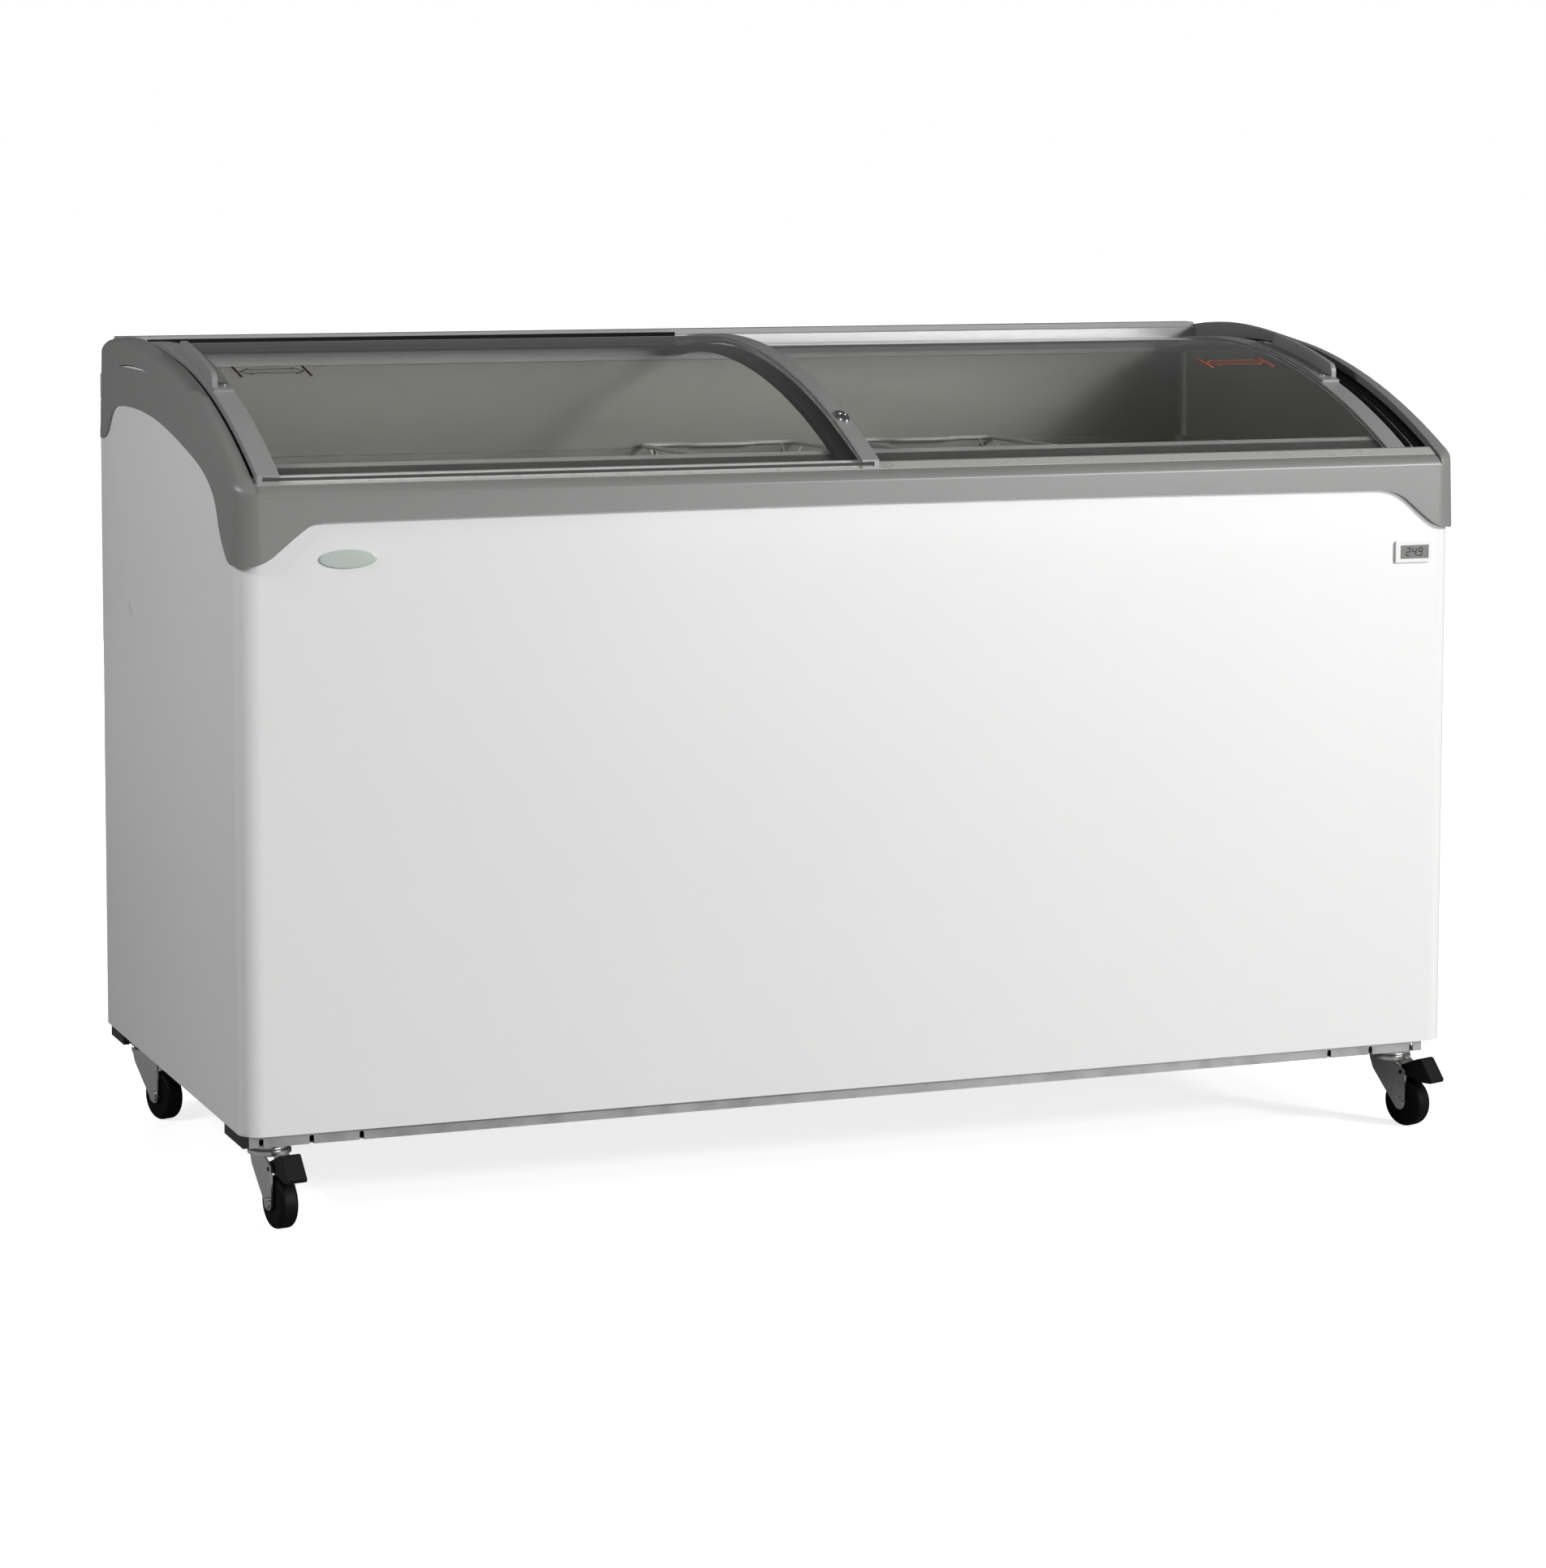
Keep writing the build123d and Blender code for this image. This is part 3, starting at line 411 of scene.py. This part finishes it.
# %% [markdown]
# ## Glass
# The lids are clear tempered glass. Full transmission with a light grey colour gives the
# slight darkening of two passes through the pane, and a trace of roughness stands for
# dust. Each pane casts no shadow, because a path tracer finds a lamp through refracting
# glass only by chance, and the tub would turn noisy and dark.


# %% Glass
def glass_finish():
    """Clear glass: transmission 1, colour drifting round a light grey, faint roughness."""
    material, tree, node = shader("lid glass")
    where = coordinates(tree)
    tint = ramp(tree, noise(tree, where, 2.3, 3), (0.86, 0.87, 0.86), (0.89, 0.90, 0.89))
    tree.links.new(tint, node.inputs["Base Color"])
    tree.links.new(spread(tree, noise(tree, where, 26, 5), 0.0, 0.004), node.inputs["Roughness"])
    node.inputs["Transmission Weight"].default_value = 1.0
    node.inputs["IOR"].default_value = 1.45
    return material


finishes["lid_glass"] = glass_finish()
ground_edge = finish(
    "ground glass edge", (0.085, 0.09, 0.085), (0.45, 0.6), drift=0.05, grain=900, depth=0.00001
)
print("finishes in all:", len(finishes))

# %% [markdown]
# ## Every part gets the finish of its slot
# The record names the material slot of every part. One finish serves all the parts of a
# slot, so two parts of the same stock always match.

# %% Slots
slot_of = {part["node"]: part["material_slot"] for part in frame["record"]["subparts"]}
members_of = frame["record"]["behaviour"]["bodies"]
body_of_node = {node: body for body, nodes in members_of.items() for node in nodes}

for node_name, node_object in frame["nodes"].items():
    node_object.data.materials.clear()
    node_object.data.materials.append(finishes[slot_of[node_name]])
for pane_name in ("left_lid_glass", "right_lid_glass"):
    frame["nodes"][pane_name].visible_shadow = False
print("parts given a finish:", len(slot_of))

# %% [markdown]
# ## Crisp parts from the CAD meshes
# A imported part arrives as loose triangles, so its round faces would shade in facets. A
# copy with its doubles merged can be shaded smooth up to a chosen angle, and a bevel of a
# fraction of a millimetre gives every sharp edge the thin highlight that real sheet and
# mouldings have. The copy stands for the part, which itself stays as it is.


# %% Smooth copies
def refined(node_name, bevel_mm, smooth_deg=32):
    """A merged, smooth-shaded copy of a part, with its sharp edges rounded by a bevel."""
    mesh = frame["nodes"][node_name].data.copy()
    mesh.name = node_name + "_fine"
    work = bmesh.new()
    work.from_mesh(mesh)
    bmesh.ops.remove_doubles(work, verts=work.verts, dist=0.002 * MM)
    bmesh.ops.dissolve_degenerate(work, edges=work.edges, dist=0.001 * MM)
    work.to_mesh(mesh)
    work.free()
    if "custom_normal" in mesh.attributes:
        mesh.attributes.remove(mesh.attributes["custom_normal"])
    mesh.shade_smooth()
    mesh.set_sharp_from_angle(angle=math.radians(smooth_deg))
    piece = bpy.data.objects.new(node_name + "_fine", mesh)
    scene.collection.objects.link(piece)
    if bevel_mm:
        edge = piece.modifiers.new("edge round", "BEVEL")
        edge.width, edge.segments = bevel_mm * MM, 2
        edge.limit_method, edge.angle_limit = "ANGLE", math.radians(40)
        edge.harden_normals = True
    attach(piece, body_of_node[node_name])
    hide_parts(node_name)
    return piece


edge_round_mm = {
    "top_frame": 0.0, "rear_rail": 0.5, "outer_shell": 0.0, "rear_panel": 0.0, "inner_tub": 0.0,
    "front_base_rail": 0.4, "rear_base_rail": 0.4, "side_spacers": 0.6,
    "left_lid_left_profile": 0.7, "left_lid_right_profile": 0.7,
    "right_lid_left_profile": 0.7, "right_lid_right_profile": 0.7,
    "left_lid_handle": 0.5, "right_lid_handle": 0.5, "end_seals": 0.4, "glide_strips": 0.0,
    "thermometer_bezel": 0.4, "badge": 0.0, "side_plug": 0.2,
    "lock_housing": 0.0, "lock_barrel": 0.2, "caster_studs": 0.5, "caster_nuts": 0.4,
    "rear_grille": 0.4, "compressor": 0.0,
}
for corner in ("front_left", "front_right", "rear_left", "rear_right"):
    edge_round_mm |= {corner + "_fork": 0.4, corner + "_axle": 0.5, corner + "_wheel": 0.3}
for corner in ("front_left", "front_right"):
    edge_round_mm[corner + "_brake_pedal"] = 1.2
fine = {name: refined(name, width) for name, width in edge_round_mm.items()}
print("smooth copies:", len(fine))

# %% [markdown]
# ## Painted highlight on the rear rail
# The rail behind the lids is one grey extrusion. The face behind its lid tracks is painted
# lighter, a painted highlight for the key light it reflects. A second material on the same mesh,
# chosen by where the middle of each face lies, needs no cut through the part.


# %% Rear rail
def paint_highlight_behind(piece, material, plane_y):
    """Painted highlight: a second finish for the faces whose middles lie behind y = plane_y."""
    faces = piece.data.polygons
    centres = np.empty(len(faces) * 3)
    faces.foreach_get("center", centres)
    behind = centres.reshape(-1, 3)[:, 1] > plane_y
    piece.data.materials.append(material)
    faces.foreach_set("material_index", behind.astype(np.int32))
    print(piece.name, "has", int(behind.sum()), "bright faces of", len(faces))


# Painted highlight: a lighter grey on the rail's rear face stands for the key light it reflects.
rail_painted_highlight = finish(
    "rail painted highlight", (0.44, 0.445, 0.44), (0.28, 0.31),
    metal=0.25, drift=0.02, grain=900, depth=0.00001, stretch=(0.05, 1, 1),
)
paint_highlight_behind(fine["rear_rail"], rail_painted_highlight, 0.290 + SHIFT_Y)

# %% [markdown]
# ## Wires
# A basket is bent from round wire. Each wire is a circle carried along a flat path: at
# every point of the path the circle stands square to the direction of travel. The corners
# of a path are eased by a short parabola, as a bending die leaves them. A curve object
# with a round bevel would do the same, but an array keeps the count of faces in hand.


# %% Wire helpers
def unit(vectors):
    """Vectors scaled to length one."""
    return vectors / np.linalg.norm(vectors, axis=-1, keepdims=True)


def eased(corners, reach, steps=5, closed=False):
    """Path through corners. Each is cut by a parabola that starts and ends reach away."""
    corners = np.asarray(corners, float)
    t = np.linspace(0, 1, steps)[:, None]
    runs = []
    for i, here in enumerate(corners):
        if not closed and i in (0, len(corners) - 1):
            runs.append(here[None])
            continue
        before, after = corners[i - 1], corners[(i + 1) % len(corners)]
        back, on = before - here, after - here
        near = min(reach, 0.45 * np.linalg.norm(back), 0.45 * np.linalg.norm(on))
        start, end = here + unit(back) * near, here + unit(on) * near
        runs.append((1 - t) ** 2 * start + 2 * t * (1 - t) * here + t ** 2 * end)
    return np.vstack(runs)


def wire(path, radius, plane, closed=False, sides=8):
    """Points and faces of a round wire: path point plus radius times a turning direction."""
    path = np.asarray(path, float)
    if closed:
        travel = unit(np.roll(path, -1, 0) - np.roll(path, 1, 0))
    else:
        travel = unit(np.gradient(path, axis=0))
    side = unit(np.cross(travel, np.asarray(plane, float)))
    up = np.cross(side, travel)
    angle = np.arange(sides) * 2 * np.pi / sides
    ring = np.cos(angle)[:, None] * side[:, None] + np.sin(angle)[:, None] * up[:, None]
    points = (path[:, None] + radius * ring).reshape(-1, 3)
    rows = len(path)
    i = np.arange(rows if closed else rows - 1)[:, None]
    j = np.arange(sides)[None]
    here, ahead = i * sides, ((i + 1) % rows) * sides
    onward = (j + 1) % sides
    quads = np.stack([here + j, ahead + j, ahead + onward, here + onward], -1)
    faces = quads.reshape(-1, 4).tolist()
    if not closed:
        faces.append(list(range(sides)))
        faces.append(list(range((rows - 1) * sides, rows * sides))[::-1])
    return points, faces


def joined(shapes):
    """Several point and face sets as one."""
    points, faces, base = [], [], 0
    for shape_points, shape_faces in shapes:
        points.append(shape_points)
        faces += [[int(v) + base for v in face] for face in shape_faces]
        base += len(shape_points)
    return np.vstack(points), faces


print("one straight 8-sided wire has", len(wire([(0, 0, 0), (0, 0, 1)], 1, (0, 1, 0))[1]), "faces")

# %% [markdown]
# ## The two baskets
# A basket hangs by its rim on the shelf round the tub. The rim is one thick wire that
# bows inwards at the middle of the front and the rear, which leaves room for fingers.
# U-shaped wires run down, under and up again both ways, and three hoops tie them. Most
# of the uprights stop at the upper hoop, as welded baskets of this kind are made.


# %% Baskets
def basket(node_name):
    """Rim, hoops and crossing U wires of one basket, sized by the part's box."""
    low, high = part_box(node_name)
    rim_r, hoop_r, thin_r = 2.5 * MM, 2.0 * MM, 1.6 * MM
    x0, x1 = low.x + rim_r, high.x - rim_r
    y0, y1 = low.y + rim_r, high.y - rim_r
    top, bottom = high.z - rim_r, low.z + thin_r

    middle, bow, half, slope = (x0 + x1) / 2, 0.016, 0.034, 0.014
    grip = [(-half - slope, 0), (-half, bow), (half, bow), (half + slope, 0)]
    rear = [(middle + x, y1 - inwards, top) for x, inwards in grip]
    front = [(middle - x, y0 + inwards, top) for x, inwards in grip]
    rim = [(x0, y1, top), *rear, (x1, y1, top), (x1, y0, top), *front, (x0, y0, top)]
    shapes = [wire(eased(rim, 0.012, closed=True), rim_r, (0, 0, 1), closed=True, sides=12)]

    inset_x, inset_y, lean = 0.0055, 0.0155, 0.004
    hoop_shares = (0.34, 0.67, 0.985)
    for share in hoop_shares:
        z = top + (bottom - top) * share
        dx, dy = inset_x + lean * share, inset_y + lean * share
        hoop = [(x0 + dx, y0 + dy, z), (x1 - dx, y0 + dy, z)]
        hoop += [(x1 - dx, y1 - dy, z), (x0 + dx, y1 - dy, z)]
        shapes.append(wire(eased(hoop, 0.012, closed=True), hoop_r, (0, 0, 1), closed=True))

    tie = top + (bottom - top) * hoop_shares[0]
    for n, y in enumerate(np.linspace(y0 + 0.030, y1 - 0.030, 13)):
        end = top if n % 4 == 0 else tie
        out = 0.0 if end == top else inset_x
        left = [(x0 + out, y, end), (x0 + inset_x, y, end - 0.012), (x0 + inset_x + lean, y, bottom)]
        right = [(x1 - inset_x - lean, y, bottom), (x1 - inset_x, y, end - 0.012), (x1 - out, y, end)]
        shapes.append(wire(eased(left + right, 0.010), thin_r, (0, 1, 0)))

    side_y, foot_y, floor_z = 0.0165, 0.020, bottom + 2 * thin_r
    for n, x in enumerate(np.linspace(x0 + 0.016, x1 - 0.016, 6)):
        end, out = (top, 0.0) if n in (0, 5) else (tie, side_y)
        near = [(x, y0 + out, end), (x, y0 + side_y, end - 0.012), (x, y0 + foot_y, floor_z)]
        far = [(x, y1 - foot_y, floor_z), (x, y1 - side_y, end - 0.012), (x, y1 - out, end)]
        shapes.append(wire(eased(near + far, 0.010), thin_r, (1, 0, 0)))

    points, faces = joined(shapes)
    piece = mesh_object(node_name + "_wires", points, faces)
    piece.data.materials.append(finishes["basket_wire"])
    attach(piece, body_of_node[node_name])
    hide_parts(node_name)
    print(node_name, len(faces), "faces")
    return piece


baskets = [basket(name) for name in ("basket_left", "basket_right")]

# %% [markdown]
# ## Curved panes
# Each lid is one bent pane. The CAD mesh cuts its arc into flats, and every flat bends a
# line seen through it, so the pane is worked out again with many more steps. It is a bar
# of rectangular section turned about the lids' centre line: a point at height r turns
# through the angle asin((y - centre) / r). The edges are ground, so they are a dull grey.


# %% Panes
def arc_bar(x0, x1, y0, y1, radius, height, cells=40):
    """Closed bar from x0 to x1 and y0 to y1 that stands by its height on the given radius."""
    y = np.linspace(y0, y1, cells + 1)[:, None]
    angle = np.arcsin((y - ARC_Y) / radius)
    r = radius + np.array([[0, 0, 1, 1]]) * height
    x = np.broadcast_to(np.array([[x0, x1, x1, x0]]), (cells + 1, 4))
    points = np.stack([x, ARC_Y + r * np.sin(angle), ARC_Z + r * np.cos(angle)], -1).reshape(-1, 3)
    i, j = np.arange(cells)[:, None] * 4, np.arange(4)[None]
    onward = (j + 1) % 4
    sides = np.stack([i + j, i + 4 + j, i + 4 + onward, i + onward], -1).reshape(-1, 4)
    last = cells * 4
    ends = [[0, 1, 2, 3], [last + 3, last + 2, last + 1, last]]
    return points, sides.tolist() + ends


def pane(node_name, outer_radius):
    """Curved pane: every second side face and both end faces carry the ground edge."""
    low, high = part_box(node_name)
    bar = arc_bar(low.x, high.x, low.y, high.y, outer_radius - GLASS_INSET, GLASS_THICK, 160)
    piece = mesh_object(node_name + "_pane", *bar)
    piece.data.set_sharp_from_angle(angle=math.radians(40))
    piece.data.materials.append(finishes["lid_glass"])
    piece.data.materials.append(ground_edge)
    edge = np.arange(len(piece.data.polygons)) % 2 == 1
    edge[-2:] = True
    piece.data.polygons.foreach_set("material_index", edge.astype(np.int32))
    piece.visible_shadow = False
    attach(piece, body_of_node[node_name])
    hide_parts(node_name)
    return piece


panes = [pane("left_lid_glass", LEFT_R), pane("right_lid_glass", RIGHT_R)]
print("faces in each pane:", len(panes[0].data.polygons))

# %% [markdown]
# ## Dark strips along the lids: painted shade, and a seal
# Thin black sheets in the frame's grooves beside the lids' ends are painted shade, and a dark
# sheet on the front ledge is painted shade for the ledge under the lids. The rear edge of the
# upper lid carries a black seal with a low wiper on it, which also paint the shade in the gap
# under that edge. All are bars bent round the lids' centre line, so the function that made
# the panes makes them too.


# %% Shade strips and seal
def strip(name, body, slot, *sizes):
    """One strip that rides on a body; its sizes are those of arc_bar."""
    piece = mesh_object(name, *arc_bar(*sizes), smooth=False)
    piece.data.materials.append(finishes[slot])
    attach(piece, body)
    print(name, "rides on", body)
    return piece


GROOVE_R, LEDGE_R, SEAL_SHADE_R, WIPER_SHADE_R = 0.9312, 0.9261, 0.9386, 0.9462
groove_y = (-0.292 + SHIFT_Y, 0.262 + SHIFT_Y)
ledge_y = (-0.284 + SHIFT_Y, -0.268 + SHIFT_Y)
seal_shade_x, seal_shade_y = (-0.664, -0.020), (0.258 + SHIFT_Y, 0.2885 + SHIFT_Y)
wiper_shade_y = 0.268 + SHIFT_Y

# Painted shade: thin black sheets in the grooves beside the lids' ends, where the frame lies in deep
# shadow.
strip("right_groove_painted_shade", "cabinet", "seal_black", 0.6775, 0.6908, *groove_y, GROOVE_R, 0.0012)
strip("left_groove_painted_shade", "cabinet", "seal_black", -0.6908, -0.6876, *groove_y, GROOVE_R, 0.0075)
# Painted shade: a dark sheet on the front ledge, which lies in shade under the lids.
ledge = strip("front_ledge_painted_shade", "cabinet", "black_plastic", -0.662, 0.662, *ledge_y, LEDGE_R, 0.0002, 8)
ledge.data.materials[0] = finish(
    "shaded ledge", (0.045, 0.045, 0.043), (0.4, 0.5), drift=0.03, grain=900, depth=0.00001
)
# A black seal and a low wiper on the left lid's rear edge; they also paint the shade in the gap under that
# edge over the rail.
strip("left_lid_rear_seal_and_shade", "left_lid", "seal_black", *seal_shade_x, *seal_shade_y, SEAL_SHADE_R, 0.0018, 8)
strip(
    "left_lid_rear_wiper_and_shade", "left_lid", "seal_black",
    *seal_shade_x, wiper_shade_y - 1 * MM, wiper_shade_y + 1 * MM, WIPER_SHADE_R, 0.0070, 1,
)

# %% [markdown]
# ## Printed arrows
# Each pane carries a printed arrow that says which way it slides. Ink is a skin a few
# hundredths of a millimetre thick. Each stroke is a narrow strip between two points of
# the unrolled pane, cut into short lengths and rolled back onto the pane's radius: the
# distance along the arc divided by the radius is the angle from the top. An image would
# be quicker, but strokes stay sharp however close the camera comes.


# %% Printed arrows
def stroke(start, end, width, radius, cells=6):
    """Strip of that width from start to end, both (x, distance along the arc)."""
    start, end = np.asarray(start, float), np.asarray(end, float)
    along = unit(end - start)
    across = np.array([-along[1], along[0]]) * width / 2
    t = np.linspace(0, 1, cells + 1)[:, None]
    line = start + (end - start) * t
    flat = np.stack([line - across, line + across], 1).reshape(-1, 2)
    angle = flat[:, 1] / radius
    y, z = ARC_Y + radius * np.sin(angle), ARC_Z + radius * np.cos(angle)
    points = np.stack([flat[:, 0], y, z], 1)
    i = np.arange(cells) * 2
    faces = np.stack([i, i + 2, i + 3, i + 1], 1).tolist()
    return points, faces


def arrow(name, body, outer_radius, x0, x1, middle, ink):
    """Outlined double arrow between two end bars, with dashes along its middle."""
    radius = outer_radius - GLASS_INSET + GLASS_THICK + 0.06 * MM
    head, barb, shaft, bar = 0.0115, 0.0125, 0.0078, 0.022
    thin, thick, dash, pitch = 0.0018, 0.0030, 0.0017, 0.0034
    strokes = [((x, middle - bar), (x, middle + bar), thick) for x in (x0, x1)]
    tips = (x0 + 0.003, x1 - 0.003)
    for tip, way in zip(tips, (1, -1)):
        for side in (-1, 1):
            corner = (tip + way * head, middle + side * barb)
            strokes.append(((tip, middle), corner, thin))
            strokes.append((corner, (tip + way * (head - 0.001), middle + side * shaft), thin))
    for side in (-1, 1):
        y = middle + side * shaft
        strokes.append(((tips[0] + head - 0.001, y), (tips[1] - head + 0.001, y), thin))
    for x in np.arange(tips[0] + head, tips[1] - head, pitch):
        strokes.append(((x, middle), (x + dash, middle), 0.0013))
    points, faces = joined([stroke(start, end, width, radius) for start, end, width in strokes])
    piece = mesh_object(name, points, faces)
    skin = piece.modifiers.new("ink thickness", "SOLIDIFY")
    skin.thickness, skin.offset = 0.05 * MM, 1.0
    piece.data.materials.append(ink)
    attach(piece, body)
    print(name, len(strokes), "strokes")
    return piece


dark_ink = finish(
    "dark brown ink", (0.012, 0.005, 0.004), (0.5, 0.6), drift=0.2, grain=900, depth=0.00001, shine=0.1
)
red_ink = finish(
    "orange red ink", (0.60, 0.12, 0.04), (0.4, 0.5), drift=0.2, grain=900, depth=0.00001
)
arrow("left_lid_arrow", "left_lid", LEFT_R, -0.6425, -0.565, -0.2025, dark_ink)
arrow("right_lid_arrow", "right_lid", RIGHT_R, 0.531, 0.611, -0.190, red_ink)

# %% [markdown]
# ## Thermometer digits
# The display shows three figures and a point. Each figure is made of up to seven bars. A
# bar is a flat six-sided plate, and a figure is lit by choosing which bars are drawn. The
# plates stand a few hundredths of a millimetre off the display, so the two never fight
# for the same place.

# %% Digits
LIT_BARS = {"2": "abged", "4": "fgbc", "9": "abcdfg"}
BAR_PLACES = {
    "a": (0, 1, False), "g": (0, 0, False), "d": (0, -1, False),
    "b": (0.5, 0.5, True), "c": (0.5, -0.5, True),
    "f": (-0.5, 0.5, True), "e": (-0.5, -0.5, True),
}


def bar_outline(x, z, upright, length, width):
    """Six corners of one bar centred on (x, z): a rectangle with pointed ends."""
    half, end = width / 2, length / 2
    shoulder = end - half
    upper = [(-end, 0), (-shoulder, half), (shoulder, half)]
    lower = [(end, 0), (shoulder, -half), (-shoulder, -half)]
    outline = np.array(upper + lower)
    if upright:
        outline = outline[:, ::-1] * (1, -1)
    return outline + (x, z)


def digits(text):
    """The display's figures as raised plates, leaning a little to the right."""
    low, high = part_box("thermometer_display")
    height, width, pitch, thick = 0.0086, 0.0046, 0.0078, 0.0011
    lean, bar_share, dot_half, proud = 0.12, 0.94, 0.0006, 0.05 * MM
    centre_x, centre_z = (low.x + high.x) / 2, (low.z + high.z) / 2

    def plate(flat):
        """Corners in the display's plane as points just in front of it."""
        return np.stack([flat[:, 0], np.full(len(flat), low.y - proud), flat[:, 1]], 1)

    shapes = []
    figures = text.replace(".", "")
    for n, letter in enumerate(figures):
        for bar in LIT_BARS[letter]:
            across, up, upright = BAR_PLACES[bar]
            length = (height / 2 if upright else width) * bar_share
            flat = bar_outline(across * width, up * height / 2, upright, length, thick)
            flat[:, 0] += lean * flat[:, 1] + centre_x + (n - (len(figures) - 1) / 2) * pitch
            flat[:, 1] += centre_z
            shapes.append((plate(flat), [[5, 4, 3, 2, 1, 0]]))
    dot_x = centre_x + (text.index(".") - len(figures) / 2) * pitch - 0.0004
    corners = np.array([(-1, -1), (1, -1), (1, 1), (-1, 1)]) * dot_half
    shapes.append((plate(corners + (dot_x, centre_z - height / 2)), [[0, 1, 2, 3]]))

    piece = mesh_object("thermometer_digits", *joined(shapes), smooth=False)
    skin = piece.modifiers.new("plate thickness", "SOLIDIFY")
    skin.thickness, skin.offset = 0.04 * MM, 1.0
    crystal = finish(
        "dark crystal", (0.006, 0.007, 0.006), (0.4, 0.5), drift=0.1, depth=0.00001, shine=0.1
    )
    piece.data.materials.append(crystal)
    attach(piece, "cabinet")
    print("plates on the display:", len(shapes))
    return piece


digits("24.9")
